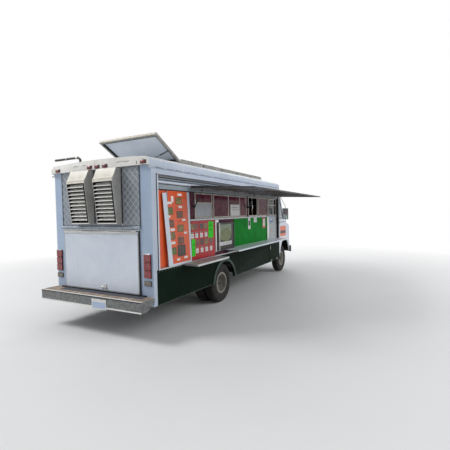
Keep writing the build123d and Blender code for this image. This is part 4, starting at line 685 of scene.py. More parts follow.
# Inside of the locker near black: painted shade
repaint(shade_black_inside, "locker_box")
repaint(chassis_paint, "chassis", "front_axle", "rear_axle")
repaint(casting, "engine", "knuckle_right", "knuckle_left")
repaint(clear_glass, "door_glass")
dressed("front_bumper", black_paint, bevel=0.003, smooth=50)
dressed("stay_bracket", black_paint, bevel=0.001)
dressed("tank_and_exhaust", black_paint, name="fuel_tank", only=lambda low, high: high.y < 0, bevel=0.002)
dressed("tank_and_exhaust", rusty_steel, name="exhaust_pipe", only=lambda low, high: low.y > 0, bevel=0)

# Seams: battens over the joints of the wall sheets, drip rails under the roof, and their rivets; battens and
# rails in the sides' painted shade
BATTENS = (0.95, 1.95, 2.95, 3.95, 4.75)
ROOF_LINE = [(-1.088, 2.612), (-1.05, 2.669), (-0.985, 2.694), (-0.5, 2.716)]
ROOF_LINE += [(0.0, 2.722)] + [(-y, z) for y, z in reversed(ROOF_LINE)]
seams = Form()
for x in BATTENS:
    seams.block(span(x, 0.016), (HALF_W, HALF_W + 0.003), (SKIRT_TOP + 0.02, EAVES - 0.02))
for side in SIDES:
    face, rail, lip = (side * (HALF_W + out) for out in (-0.0005, 0.003, 0.016))
    foot, top, edge = EAVES - 0.012, EAVES + 0.006, EAVES - 0.002
    seams.slab(upright(-0.03, 5.7, face, foot, top), (0, side * 0.004, 0))
    seams.slab([(0.0, rail, foot), (5.7, rail, foot), (5.7, lip, edge), (0.0, lip, edge)], (0, 0, 0.003))
for x in (1.02, 2.24, 3.46, 4.68):
    seams.tube([(x, y, z) for y, z in ROOF_LINE], 0.006, 6)
made(seams, "wall_and_roof_seams", side_shade_enamel, bevel=0.001)

side_lines = []
for side in SIDES:
    side_lines += [line((0.03, 5.62), side * (HALF_W + 0.001), EAVES + 0.035),
                   line((0.06, 5.62), side * HALF_W, SKIRT_TOP - 0.03)]
side_lines += [line(x + dx, HALF_W + 0.003, (1.05, 2.48)) for x in BATTENS for dx in (-0.009, 0.009)]
side_lines.append(line(0.1, -HALF_W, (1.03, 2.44)))
rivets("side_rivets", side_lines, 0.075, 0.0048, (1, 0.6, 1), zinc)
rear_lines = [line(0.0, side * y, (0.64, 2.5)) for side in SIDES for y in (0.905, 1.03)]
rivets("rear_rivets", rear_lines + [line(-0.04, (-1.0, 1.0), 2.58)], 0.09, 0.0046, (0.6, 1, 1), zinc)

# Sealant along the fascia: uneven dark beads where the roof skin meets it
sealant = Form()
for start, end in ((-0.71, -0.46), (0.22, 0.3), (0.4, 0.51)):
    steps = [start + (end - start) * i / 10 for i in range(11)]
    sealant.tube([(-0.04, y, 2.644 + 0.005 * sin(31 * y)) for y in steps],
                 [0.0022 + 0.0015 * abs(sin(17 * y)) for y in steps], 6)
# Straight dark line at the fascia's foot: painted shade in the gap under it
sealant.block((-0.0408, -0.0385), (-1.04, 1.04), (2.5612, 2.5668))
sealant.tube([(-0.04, -0.856 + 0.003 * sin(60 * z), z) for z in (2.585, 2.6, 2.615, 2.632)], 0.0045, 6)
for i in range(22):
    steps = [0.1 + 0.25 * i + 0.21 * k / 8 for k in range(9)]
    sealant.tube([(a, -HALF_W - 0.0005, EAVES + 0.008 + 0.0035 * sin(13 * a)) for a in steps],
                 [0.003 + 0.0022 * abs(sin(9 * a + i)) for a in steps], 6)
made(sealant, "fascia_and_eaves_sealant_and_gap_shade", dark_print)


# Quilted stainless on the rear wall: pillows between crossed creases

def quilting():
    tree, given = growth("quilted_sheet", "Sheet", Width="Float", Height="Float", Diamond_width="Float",
                         Diamond_height="Float", Depth="Float", Cell="Float", Finish="Material")
    counts = [add(tree, "Math", given[word], given["Cell"], operation="DIVIDE")
              for word in ("Width", "Height")]
    grid = add(tree, "MeshGrid", Size_X=given["Width"], Size_Y=given["Height"],
               Vertices_X=counts[0], Vertices_Y=counts[1])
    place = add(tree, "SeparateXYZ", Vector=add(tree, "InputPosition")).outputs
    across = add(tree, "Math", place[0], given["Diamond width"], operation="DIVIDE")
    up = add(tree, "Math", place[1], given["Diamond height"], operation="DIVIDE")
    swells = crossing(tree, across, up)
    pillow = add(tree, "Math", swells[0], swells[1], operation="MULTIPLY")
    soft = add(tree, "Math", pillow, 0.45, operation="POWER")
    rise = add(tree, "Math", soft, given["Depth"], operation="MULTIPLY")
    offset = add(tree, "CombineXYZ", Z=rise)
    bowed = add(tree, "SetPosition", Geometry=grid, Offset=offset)
    real = add(tree, "RealizeInstances", Geometry=bowed)
    coated = add(tree, "SetMaterial", Geometry=real, Material=given["Finish"])
    add(tree, "GroupOutput", Sheet=coated)
    return tree


VENTS = (-0.3, 0.3)                     # middles of the two vents
sheet = bmesh.new()
sheet.from_mesh(grown("quilt", quilting(), bpy.data.meshes.new("quilt_start"), {
    "Width": 2 * QUILT_HALF, "Height": QUILT_Z[1] - QUILT_Z[0], "Diamond width": DIAMOND[0],
    "Diamond height": DIAMOND[1], "Depth": 0.006, "Cell": 0.0066, "Finish": quilted_stainless}))
for vert in sheet.verts:
    across, up, rise = vert.co
    vert.co = (-0.0008 - rise, across, QUILT_MIDDLE + up)
middles = [(face, face.calc_center_median()) for face in sheet.faces]
in_vent = [face for face, p in middles if any(abs(p.y - c) < 0.19 for c in VENTS) and 1.72 < p.z < 2.35]
bmesh.ops.delete(sheet, geom=in_vent, context="FACES")
rim = [edge for edge in sheet.edges if edge.is_boundary]
for vert in bmesh.ops.extrude_edge_only(sheet, edges=rim)["geom"]:
    if isinstance(vert, bmesh.types.BMVert):
        vert.co.x = 0.0004
made(sheet, "quilted_sheet", quilted_stainless, slot=SLOT_OF["quilted_panel"], smooth=180,
     stands_for=("quilted_panel",))
strips = Form()
for side in SIDES:
    for y, half, x, number in ((0.869, 0.009, (-0.0075, 0.0), 1), (0.514, 0.006, (-0.0095, -0.003), 0)):
        strips.block(x, (side * y - half, side * y + half), QUILT_Z, number)
made(strips, "quilt_edge_strips", (stainless, grimed_joint), slot="stainless", bevel=0.001)
rivets("quilt_screws", [line(-0.0075, side * 0.869, (1.7, 2.53)) for side in SIDES],
       0.083, 0.005, (0.5, 1, 1), dark_print, slot="stainless")


# Hooded vents: brows in the cream of painted sunlight, dull cheeks, bright slats over near-black painted
# shade

def vent_paint(p, n):
    # Cream of painted sunlight on the brows; near-black painted shade under them and on the cheeks' inner
    # sides
    aside = abs(abs(p.y) - 0.3)
    if aside > 0.2035:
        return 1
    if aside > 0.199 and abs(n.y) > 0.7:
        return 3
    if p.z > 2.345:
        return 0 if n.x < -0.2 or p.z > 2.549 else 3
    return 1 if p.z < 1.718 else 2


def slat_place(p):
    """Slats a little lower than in the CAD, and further apart towards the foot."""
    low = (2.345 - p.z) / 0.62
    if abs(abs(p.y) - 0.3) < 0.2015 and 0.02 < low < 0.97:
        return Vector((p.x, p.y, p.z - 0.012 - 0.012 * low))
    return p


dressed("rear_vents", (sunlit_cream_enamel, cheek_sheet, bright_slat, shade_black_inside), vent_paint, shape=slat_place,
        bevel=0.0012)
# Hood over each vent: flat on top, then folded down to its lip, which is in the cream of painted sunlight
BROW = ((-0.0005, 2.365), (-0.0005, 2.553), (-0.108, 2.553), (-0.1935, 2.362))
HOOD = ((-0.106, 2.5545), (-0.109, 2.5545), (-0.1985, 2.3625), (-0.1985, 2.347), (-0.1955, 2.347),
        (-0.1955, 2.36))
CHEEK_EDGE = ((-0.192, 2.352), (-0.176, 2.352), (-0.104, 1.702), (-0.1195, 1.702))
SLAT_END_SHADOW = ((-0.1975, 2.346), (-0.15, 2.346), (-0.08, 1.735), (-0.1275, 1.735))
hoods, screens, folds_and_shadows = Form(), Form(), Form()
for centre in VENTS:
    hoods.slab([(x, centre - 0.2075, z) for x, z in BROW], (0, 0.415, 0), 0)
    hoods.slab([(x, centre - 0.209, z) for x, z in HOOD], (0, 0.418, 0), 1)
    # Mesh of the screen behind the slats, on a near-black sheet of painted shade
    screens.block((-0.012, -0.01), span(centre, 0.198), (1.72, 2.34))
    for y in [centre - 0.19 + i * 0.0165 for i in range(24)]:
        screens.block((-0.0145, -0.0115), span(y, 0.0012), (1.72, 2.34), 1)
    for z in [1.725 + i * 0.0168 for i in range(37)]:
        screens.block((-0.0145, -0.0115), span(centre, 0.197), span(z, 0.0012), 1)
    folds_and_shadows.block((-0.1965, -0.19), span(centre, 0.207), (2.349, 2.361))
    for y in span(centre, 0.206):
        folds_and_shadows.slab([(x, y - 0.0025, z) for x, z in CHEEK_EDGE], (0, 0.005, 0))
    # Dark strip along the slats' ends inside each cheek: painted shadow
    folds_and_shadows.slab([(x, centre - 0.201, z) for x, z in SLAT_END_SHADOW], (0, 0.026, 0), 1)
    for y in span(centre, 0.214):
        folds_and_shadows.block((-0.0095, 0.0), span(y, 0.007), (1.7, 2.552), 2)
made(hoods, "vent_hoods", (cheek_sheet, sunlit_cream_enamel), bevel=0.0008)
made(screens, "vent_screens_on_shade_sheet", (shade_black_inside, black_paint))
made(folds_and_shadows, "vent_folded_edges_and_slat_shadows", (cheek_sheet, shade_black_inside, seal_rubber), slot="stainless", bevel=0.0006)

# Rail, trims, latch, and weatherstrip with painted gap shade round the hatch; the rail's band in the cream
# of painted sunlight
dressed("rear_trim", (rail_sheet, sunlit_cream_enamel, stainless), bevel=0.001,
        paint=lambda p, n: 2 if p.z < 1.589 else 1 if p.z < 1.6121 else 0)
HATCH_FACE, HATCH_Z = -0.0225, (0.625, 1.548)


def hatch_paint(p, n):
    """Its bright head bar; the CAD's plain latch at the foot is left out, and made again below."""
    if p.x >= -0.0236:
        return 0
    return None if p.z < 1.0 else 1 if p.z > 1.548 else 0


dressed("rear_hatch", (hatch_enamel, stainless, zinc), hatch_paint, bevel=0.002)
hatch = Form()
for y, z in (((-0.827, -0.813), HATCH_Z), ((0.813, 0.827), HATCH_Z),
             ((-0.826, 0.826), (1.528, 1.546)), ((-0.826, 0.826), (0.625, 0.64))):
    hatch.block((-0.0252, HATCH_FACE), y, z)
for y in [-0.78 + i * 0.195 for i in range(8)]:
    hatch.tube([(-0.033, y, 1.576), (-0.033, y + 0.15, 1.576)], 0.0009, 6, 2)
hatch.blocks((-0.0262, HATCH_FACE, -0.126, -0.034, 0.658, 0.7, 1),
             (-0.0275, HATCH_FACE, -0.156, -0.122, 0.645, 0.728, 2))
grip = [(-0.0255 - 0.024 * sin(pi * i / 12), -0.118 + 0.078 * i / 12, 0.672 + 0.016 * sin(pi * i / 12))
        for i in range(13)]
hatch.tube(grip, 0.0052, 10, 1)
for _, y, z in (grip[0], grip[-1]):
    hatch.lathe((-0.0262, y, z), (-1, 0, 0), head(0.011, 0.003, 0.007, 0.006), 16, 1)
hatch.block((-0.0335, -0.027), (-0.15, -0.128), (0.652, 0.69), 2)
hatch.tube([(-0.0355 - 0.006 * sin(a), -0.139 + 0.01 * cos(a), 0.652 - 0.014 * sin(a))
            for a in (pi * i / 8 for i in range(9))], 0.0026, 8, 1)
made(hatch, "hatch_trim_and_latch", (aluminium, chrome, zinc), "rear_hatch", "stainless", bevel=0.0008,
     stands_for=("rear_hatch",))
rivets("hatch_screws", [line(-0.0252, side * 0.82, (0.66, 1.52)) for side in SIDES]
       + [line(-0.0252, (-0.79, 0.79), 1.537)], 0.108, 0.0042, (0.5, 1, 1), zinc, "rear_hatch")
# Black strips round the hatch: seals, with painted shade in the wide gap on its right and in the band under
# it
made(Form().blocks(
    (-0.006, 0.0, 0.8303, 0.8347, 0.62, 1.585, 0),
    (-0.0155, 0.0, -0.852, -0.832, 0.606, 1.588, 0),
    (-0.016, 0.0, -0.95, 0.95, 0.6005, 0.6195, 0),
    (-0.0145, -0.001, -0.877, 0.877, 1.66, 1.666, 0),
    (-0.016, -0.013, -0.832, 0.832, 1.606, 1.612, 0),
    (-0.016, -0.013, -0.832, 0.832, 1.5895, 1.5925, 0)), "hatch_seals_and_gap_shade", seal_rubber, slot="rubber")


# Step bumper: worn deck, galvanised face, white lower lip; painted shadow over the deck's inner part and
# painted sunlight along its front edge

def bumper_paint(p, n):
    if p.z > 0.598 and n.z > 0.7:
        return 0
    if p.z < 0.441:
        return 2
    return 1 if n.x < -0.7 or abs(n.y) > 0.7 else 3


dressed("rear_bumper", (worn_deck, galvanised, white_enamel, rusty_steel), bumper_paint, bevel=0.003)
BUMPER_FACE = -0.2925
# White strip of painted sunlight along the deck's front edge; dark band of painted shadow over the deck's
# inner part
step = Form().blocks((BUMPER_FACE, -0.268, -1.098, 1.098, 0.599, 0.6022, 2),
                     (-0.2935, -0.2895, -1.096, 1.096, 0.581, 0.5965, 1),
                     (-0.294, -0.2905, -1.097, 1.097, 0.4325, 0.454, 2),
                     (-0.148, -0.018, -0.96, 0.82, 0.599, 0.603, 3))
for i in range(34):
    y = -1.05 + i * 0.0636
    for x in (-0.235, -0.175):
        step.block(span(x, 0.017), span(y, 0.0028), (0.5995, 0.6014), 0,
                   turned((x, y, 0), radians(45 if i % 2 else -45), "Z"))
made(step, "bumper_tread_and_painted_light", (worn_deck, black_paint, sunlit_fascia_enamel, deck_shadow_mat), slot="galvanised",
     bevel=0.0006)
rivets("bumper_bolts", [line(BUMPER_FACE, y, (0.47, 0.565)) for y in (-0.62, 0.5)]
       + [line(BUMPER_FACE, (y, y + 0.09), 0.52) for y in (-0.98, 0.89)], 0.09, 0.01, (0.5, 1, 1),
       rusty_steel, slot="galvanised")

# Blank licence plate, with its rolled rim, on two bolts
PLATE_Y, PLATE_Z = (-0.4125, -0.1075), (0.415, 0.567)
plate = Form().block((-0.295, BUMPER_FACE), PLATE_Y, PLATE_Z)
for y, z in (((-0.4125, -0.4085), PLATE_Z), ((-0.1115, -0.1075), PLATE_Z),
             (PLATE_Y, (0.415, 0.419)), (PLATE_Y, (0.563, 0.567))):
    plate.block((-0.2962, BUMPER_FACE), y, z)
plate.block((-0.2955, -0.294), (-0.398, -0.122), (0.428, 0.52), 1)
for y in (-0.3489, -0.1711):
    plate.lathe((-0.295, y, 0.545), (-1, 0, 0), head(0.0075, 0.003, 0.005, 0.005), 6, 2)
made(plate, "blank_licence_plate", (white_paper, pale_blue_paper, zinc), bevel=0.0006)

# Lamps: ribbed red lenses stacked on black housings, and oval markers on black pads that reach out to their
# right as painted shadows
dressed("lamps", red_lens, name="tail_lamps", bevel=0.003,
        only=lambda low, high: 0.85 < low.z < 1.3 and high.x < 0.1)
dressed("lamps", dulled_lens, name="reverse_lamps", bevel=0.003,
        only=lambda low, high: low.z < 0.8 and high.x < 0.1)
MARKERS = (-0.95, -0.172, 0.0, 0.172, 0.95)
MARKER_SHIFT = -0.026
markers = Form()
for y in MARKERS:
    markers.lathe((-0.0435, y + MARKER_SHIFT, 2.608), (-1, 0, 0),
                  ((0.031, 0), (0.031, 0.005), (0.027, 0.011), (0.018, 0.0155), (0.007, 0.0172)), 24)
for vert in markers.mesh.verts:
    centre = min(MARKERS, key=lambda y: abs(vert.co.y - MARKER_SHIFT - y)) + MARKER_SHIFT
    vert.co.y = centre + 1.6 * (vert.co.y - centre)
made(markers, "roof_markers", marker_lens, slot=SLOT_OF["lamps"], stands_for=("lamps",))
dressed("lamps", clear_lens, name="headlamps", only=lambda low, high: low.x > 6, bevel=0, smooth=50)
housings = Form()
for side in SIDES:
    y0, y1 = off(side, 0.916, 1.056)
    housings.blocks((-0.009, 0, y0, y1, 0.882, 1.244, 0), (-0.027, 0, y0, y1, 1.24, 1.25, 1),
                    (-0.008, 0, y0, y1, 0.764, 0.842, 0))
    for z in (0.888, 1.008, 1.128):
        for rib in [z + 0.018 + 0.018 * k for k in range(5)]:
            housings.block((-0.0262, -0.0225), (y0 + 0.016, y1 - 0.016), (rib, rib + 0.003), 2)
        for y in (y0 + 0.016, y1 - 0.016):
            housings.lathe((-0.024, y, z + 0.055), (-1, 0, 0),
                           ((0, 0), (0.004, 0), (0.003, 0.003), (0, 0.003)), 10, 1)
made(housings, "lamp_housings", (seal_rubber, chrome, red_lens), slot="red_lens", bevel=0.001)
# Black behind each marker, reaching further out on its right: painted shadow
pads = Form()
for y in MARKERS:
    pads.block((-0.044, -0.04), (y - 0.092, y + 0.026), (2.581, 2.635))
made(pads, "marker_pads_and_shadows", black_paint, slot="red_lens", bevel=0.002)


# Serving bay

SILL, BAY_TOP = 1.0, 2.43


def bay_paint(p, n):
    """Maroon behind the windows, white at the rear and the foot, bright below and round them."""
    if p.x < 1.03 or p.z < 1.001:
        return 1
    return 2 if p.y < BAY_FACE - 0.001 or p.z < 1.73 else 0


dressed("bay_wall", (maroon_wall, white_enamel, aluminium), bay_paint, bevel=0.001)
dressed("window_frames", window_frame, bevel=0.0012)
for name, pane, chosen in (
        ("bay_panes", filmed_glass,
         lambda low, high: high.y < -0.9 and (1.8 < low.x < 4.9 or low.x < 1.4 and low.z > 2.0)),
        ("shaded_lower_pane", grey_paper, lambda low, high: high.y < -0.9 and low.x < 1.4 and low.z < 2.0),
        ("smoked_panes", smoked_glass,
         lambda low, high: high.y < -0.9 and 4.9 < low.x < 5.7 or high.y > 0.9 and low.x < 4.6),
        ("clear_panes", clear_glass, lambda low, high: high.y > -0.9 and low.x > 4.6 or low.x > 5.7)):
    dressed("glazing", pane, name=name, bevel=0, only=chosen)
dressed("bay_trim", (grey_enamel, seal_rubber, plain_band), name="bay_header_bands", bevel=0.0012,
        only=lambda low, high: high.x - low.x > 3 and low.y > -1.08,
        paint=lambda p, n: 2 if p.z < 2.295 else 1 if p.y > -1.058 and n.y < -0.7 else 0)
dressed("bay_trim", lip_enamel, name="awning_hinge_leaf", bevel=0.0008,
        only=lambda low, high: high.x - low.x > 3 and low.y < -1.08)
HEAD_X = (0.157, 5.633)                 # rear and front end of the mouldings
ROLL = ((-1.059, 2.306), (-1.065, 2.31), (-1.0705, 2.322), (-1.069, 2.338), (-1.059, 2.346))
# Black strip under the greyed lip: painted shadow
header = Form().blocks((*HEAD_X, -1.0665, -1.059, 2.404, 2.4285, 0),
                       (*HEAD_X, -1.061, -1.055, 2.387, 2.4035, 1))
header.slab([(HEAD_X[0], y, z) for y, z in ROLL], (HEAD_X[1] - HEAD_X[0], 0, 0), 2)
# Black strip at the foot, under the plain band: painted shadow
header.blocks((*HEAD_X, -1.074, -1.04, 2.2925, 2.3035, 1), (*HEAD_X, -1.038, -1.03, 2.206, 2.219, 1))
made(header, "header_mouldings_and_shadow_lines", (lip_enamel, seal_rubber, white_enamel), bevel=0.0008)
dressed("bay_trim", black_paint, name="strut_brackets", bevel=0.0008,
        only=lambda low, high: high.x - low.x < 0.1 and low.z > 1.8)
dressed("bay_trim", anodised, name="bay_posts", bevel=0.002,
        only=lambda low, high: high.x - low.x < 0.2 and low.z < 1.8)
dressed("front_ledge", (white_enamel, aluminium), bevel=0.0015,
        paint=lambda p, n: 0 if n.z > 0.5 or n.y < -0.5 else 1)
dressed("shelf", aluminium, bevel=0.001)
dressed("kitchen_unit", (stainless, cheek_sheet), bevel=0.004,
        paint=lambda p, n: 1 if p.z > 2.0 and n.z < -0.5 else 0)

# Corner trims round the bay, and the white return on its rear jamb
WALL_FACE, TRIM_FACE, INNER_FACE = -HALF_W, -HALF_W - 0.0035, BAY_FACE - 0.001
made(Form().blocks(
    (0.142, 0.156, TRIM_FACE, INNER_FACE, SILL, BAY_TOP, 2),
    (0.128, 0.156, WALL_FACE - 0.004, WALL_FACE, SILL, BAY_TOP, 2),
    (0.108, 0.1275, WALL_FACE - 0.003, WALL_FACE, 0.99, 2.445, 1),
    (0.108, 5.66, WALL_FACE - 0.003, WALL_FACE, 2.4305, 2.439, 1),
    (5.605, 5.636, BAY_FACE - 0.012, INNER_FACE, 1.082, 2.205, 1),
    (5.637, 5.646, TRIM_FACE, INNER_FACE, SILL, BAY_TOP, 1),
    (5.646, 5.652, WALL_FACE - 0.0045, WALL_FACE, SILL, BAY_TOP, 0),
    (5.652, 5.698, TRIM_FACE, WALL_FACE, SILL, BAY_TOP, 1),
    (0.124, 5.665, TRIM_FACE, WALL_FACE, 0.985, 1.001, 0),
    (1.05, 5.62, BAY_FACE - 0.004, BAY_FACE, 1.066, 1.08, 0)),
    "bay_edge_trims", (anodised, seal_rubber, white_enamel), bevel=0.001)
rivets("bay_trim_rivets", [line(0.133, TRIM_FACE, (1.05, 2.4)), line((1.1, 5.6), BAY_FACE - 0.03, 1.72)],
       0.09, 0.0042, (1, 0.5, 1), zinc)
# Rear part of the bay wall: an orange return behind the leaning board
made(Form().block((0.156, 0.424), (BAY_FACE - 0.0035, BAY_FACE), (1.003, 2.205)),
     "orange_return", orange_print, slot="orange_board", bevel=0.0006)


def board_y(z):
    """Face of the leaning board at height z."""
    return -1.056 + (2.205 - z) * (-1.086 + 1.056) / 1.2


def card(form, x, z, w, h, finish, thick=0.0012, corner=0.0):
    """Card w wide and h high on the leaning board, centred at (x, z), its corners rounded if asked."""
    outline = [(x + i * w / 2, z + k * h / 2) for i, k in ((-1, -1), (1, -1), (1, 1), (-1, 1))]
    if corner:
        outline = [(x + i * (w / 2 - corner) + corner * cos(a), z + k * (h / 2 - corner) + corner * sin(a))
                   for i, k, start in ((1, 1, 0), (-1, 1, 90), (-1, -1, 180), (1, -1, 270))
                   for a in (radians(start + 15 * step) for step in range(7))]
    form.slab([(a, board_y(b), b) for a, b in outline], (0, -thick, 0), finish)


dressed("menu_board", (orange_print, white_enamel), bevel=0.0008,
        paint=lambda p, n: 0 if n.y < -0.7 else 1)
menu_cards = Form()
for x, z, kind in ((0.708, 2.048, 0), (0.722, 1.822, 1), (0.733, 1.595, 0), (0.729, 1.397, 1),
                   (0.455, 1.881, 2), (0.469, 1.681, 1), (0.488, 1.484, 0), (0.506, 1.235, 2)):
    card(menu_cards, x + 0.004, z, 0.172, 0.118, 3, 0.001)
    card(menu_cards, x + 0.004, z, 0.158, 0.104, kind, 0.0018, corner=0.012)
card(menu_cards, 0.738, 1.227, 0.23, 0.19, 4, 0.0014, corner=0.03)
card(menu_cards, 0.738, 1.227, 0.2, 0.16, 5, 0.002, corner=0.025)
for place in ((0.746, 2.151, 0.12, 0.036), (0.54, 2.072, 0.06, 0.1), (0.464, 2.011, 0.11, 0.04),
              (0.753, 1.948, 0.1, 0.036), (0.84, 1.732, 0.1, 0.034), (0.52, 1.581, 0.11, 0.042),
              (0.873, 1.514, 0.09, 0.036), (0.521, 1.369, 0.11, 0.04), (0.856, 1.103, 0.1, 0.036),
              (0.777, 1.441, 0.05, 0.024), (0.451, 1.793, 0.04, 0.034), (0.643, 1.087, 0.09, 0.034)):
    card(menu_cards, *place, 6, corner=0.006)
for x, z, w in ((0.7, 1.93, 0.17), (0.71, 1.72, 0.15), (0.72, 1.5, 0.17), (0.7, 1.33, 0.15),
                (0.5, 1.16, 0.12)):
    for k in range(2):
        card(menu_cards, x, z - 0.022 * k, w - 0.04 * k, 0.007, 7, 0.0008)
made(menu_cards, "menu_cards", (dish_gold, dish_brown, dish_olive, dark_print, dark_print, dish_dark,
                                white_paper, red_print), slot="orange_board")
edge = Form()
edge.slab([(x, board_y(z) - 0.0035, z)
           for x, z in ((0.955, 2.203), (1.027, 2.203), (1.027, 1.004), (0.99, 1.004))], (0, 0.003, 0))
edge.slab([(0.283, -1.064, 2.16), (0.388, -1.062, 2.17), (0.487, -1.092, 1.03), (0.378, -1.092, 1.015)],
          (0, 0.005, 0))
edge.slab([(0.378, -1.092, 1.003), (1.025, -1.092, 1.003), (1.025, -1.089, 1.032), (0.378, -1.089, 1.032)],
          (0, 0.006, 0))
made(edge, "menu_board_edge", white_enamel, bevel=0.001)

# Boards on the counter
for name, cover, x0, x1, bevel in (
        ("price_board", red_print, 0, 1.5, 0.0008), ("picture_board_frame", black_paint, 2.0, 2.5, 0.0015),
        ("green_panel", green_print, 2.7, 3, 0.0012), ("service_panel", service_metal, 4.8, 6, 0.0015)):
    dressed("counter_boards", cover, name=name, only=lambda low, high: x0 < low.x < x1, bevel=bevel)

# Faces of the price board, the picture board, the green and service panels, and the window glass
PRICES, PICTURE = BAY_FACE - 0.0163, BAY_FACE - 0.0365
GREEN, SERVICE, PANE = BAY_FACE - 0.0103, BAY_FACE - 0.0143, BAY_FACE + 0.003


def tag(form, face, x, z, w, h, finish, thick=0.0015, tilt=0.0):
    """Card w wide and h high on an upright face, centred at (x, z); tilt is its angle in radians."""
    turn = turned((x, 0, z), tilt, "Y")
    form.block(span(x, w / 2), (face - thick, face + 0.001), span(z, h / 2), finish, turn)


# Price board: two rows of pictures with white tags, and two bright cards
prices = Form()
for i, (x, z) in enumerate(((1.11, 1.6), (1.24, 1.6), (1.43, 1.6), (1.581, 1.6),
                            (1.287, 1.31), (1.443, 1.31), (1.608, 1.31), (1.766, 1.31))):
    tag(prices, PRICES, x, z, 0.122, 0.1, i % 3)
for x, z in ((1.125, 1.435), (1.262, 1.435), (1.424, 1.435), (1.587, 1.435),
             (1.275, 1.16), (1.437, 1.16), (1.602, 1.16), (1.77, 1.16)):
    tag(prices, PRICES, x, z, 0.092, 0.082, 3)
    tag(prices, PRICES, x - 0.006, z + 0.062, 0.104, 0.016, 6, 0.001)
    tag(prices, PRICES, x, z + 0.012, 0.06, 0.01, 7, 0.0021)
    tag(prices, PRICES, x - 0.01, z - 0.012, 0.044, 0.012, 7, 0.0021)
tag(prices, PRICES, 1.77, 1.522, 0.186, 0.312, 4, 0.0024, 0.02)
tag(prices, PRICES, 1.151, 1.226, 0.112, 0.302, 4, 0.0024, -0.02)
for x, z, w in ((1.77, 1.6, 0.1), (1.77, 1.52, 0.08), (1.151, 1.28, 0.06), (1.151, 1.2, 0.05)):
    tag(prices, PRICES, x, z, w, 0.012, 5, 0.003)
made(prices, "price_cards", (dish_gold, dish_brown, dish_dark, white_paper, neon_paper, green_print,
                             dish_pale, grey_paper), slot="red_board")

# Picture board: a heaped plate over a pale band, in its bright frame
art = Form()
tag(art, PICTURE, 2.32, 1.34, 0.6, 0.52, 0, 0.0012)
tag(art, PICTURE, 2.33, 1.5, 0.56, 0.2, 1, 0.0018)
art.slab([(2.35 + 0.262 * cos(a) * (1 + 0.05 * sin(7 * a)), PICTURE - 0.0024,
           1.385 + 0.135 * sin(a) * (1 + 0.06 * cos(5 * a))) for a in (2 * pi * k / 40 for k in range(40))],
         (0, 0.002, 0), 2)
tag(art, PICTURE, 2.34, 1.205, 0.56, 0.07, 3, 0.0018)
for x, w in ((2.1, 0.11), (2.25, 0.12), (2.41, 0.1), (2.55, 0.09)):
    tag(art, PICTURE, x, 1.205, w, 0.03, 4, 0.0024)
FRAME_Y = (PICTURE - 0.008, PICTURE + 0.01)
art.blocks((2.066, 2.09, *FRAME_Y, 1.082, 1.64, 5), (2.725, 2.749, *FRAME_Y, 1.082, 1.64, 6),
           (2.092, 2.74, *FRAME_Y, 1.077, 1.097, 6), (2.092, 2.74, *FRAME_Y, 1.618, 1.638, 6),
           (1.98, 2.066, BAY_FACE - 0.0305, BAY_FACE - 0.0275, 1.083, 1.65, 6))
made(art, "picture_board_art", (dark_print, dish_pale, dish_olive, white_paper, grey_paper, anodised,
                                black_paint), slot="red_board", bevel=0.0006)

# Papers, cards and stickers on the green panel, the service panel and the glass
papers = Form()
for row in ((GREEN, 3.632, 1.57, 0.137, 0.272, 0), (GREEN, 3.632, 1.575, 0.1, 0.12, 1, 0.0025),
            (GREEN, 4.008, 1.654, 0.191, 0.14, 0), (GREEN, 4.008, 1.66, 0.12, 0.016, 2, 0.0025),
            (GREEN, 4.601, 1.578, 0.198, 0.331, 3), (GREEN, 4.601, 1.56, 0.15, 0.2, 0, 0.0025),
            (GREEN, 4.601, 1.575, 0.11, 0.018, 2, 0.0032), (SERVICE, 5.152, 1.623, 0.239, 0.157, 4),
            (SERVICE, 5.152, 1.63, 0.15, 0.06, 0, 0.0025), (SERVICE, 5.19, 1.29, 0.05, 0.05, 5),
            (PANE, 2.901, 1.889, 0.47, 0.254, 0), (PANE, 2.901, 1.95, 0.3, 0.02, 2, 0.0025),
            (PANE, 2.901, 1.9, 0.34, 0.016, 2, 0.0025)):
    tag(papers, *row)
made(papers, "papers_and_stickers",
     (white_paper, dark_print, grey_paper, red_print, blue_paper, orange_print))

# Bay hardware: bead round each pane, slide and latch of the open window, edges of the service panel
beads = Form()
for x0, x1 in ((1.24, 1.865), (1.905, 3.48), (4.23, 4.885), (4.94, 5.6)):
    for z in (1.765, 2.187):
        beads.block((x0 + 0.024, x1 - 0.024), (BAY_FACE - 0.001, BAY_FACE + 0.003), span(z, 0.003))
beads.blocks((3.6, 4.18, BAY_FACE - 0.012, BAY_FACE + 0.02, 1.741, 1.748, 1),
             (3.87, 3.88, BAY_FACE + 0.01, BAY_FACE + 0.024, 1.766, 2.186, 1),
             (3.884, 3.9, BAY_FACE + 0.004, BAY_FACE + 0.012, 1.93, 2.01, 2),
             (4.965, 5.56, SERVICE - 0.002, SERVICE, 1.1, 1.112, 1),
             (4.965, 5.56, SERVICE - 0.002, SERVICE, 1.675, 1.687, 1))
made(beads, "pane_beads_and_slide", (seal_rubber, anodised, chrome), slot="aluminium", bevel=0.0005)

# Partition behind the cab, in near-black painted shade, with a shelf of brown boxes, seen through the open
# window
partition = Form().blocks((4.8, 4.812, -1.0, 0.08, 0.655, 2.47, 0),
                          (4.64, 4.8, -0.99, -0.06, 2.01, 2.022, 1),
                          (4.64, 4.8, -0.99, -0.06, 1.7, 1.712, 1))
for i in range(5):
    y = -0.96 + 0.18 * i
    partition.block((4.67, 4.79), (y, y + 0.148), (1.712, 1.89 + 0.03 * (i % 2)), 2)
made(partition, "cab_partition", (shade_black_inside, anodised, boxes_brown), slot="cab_trim", bevel=0.001)


# Awning: white skin above, shaded lining between its ribs, light edge

HINGE = Vector((0, -1.118, 2.29))
DROOP = turned(HINGE, radians(2.5), "X")


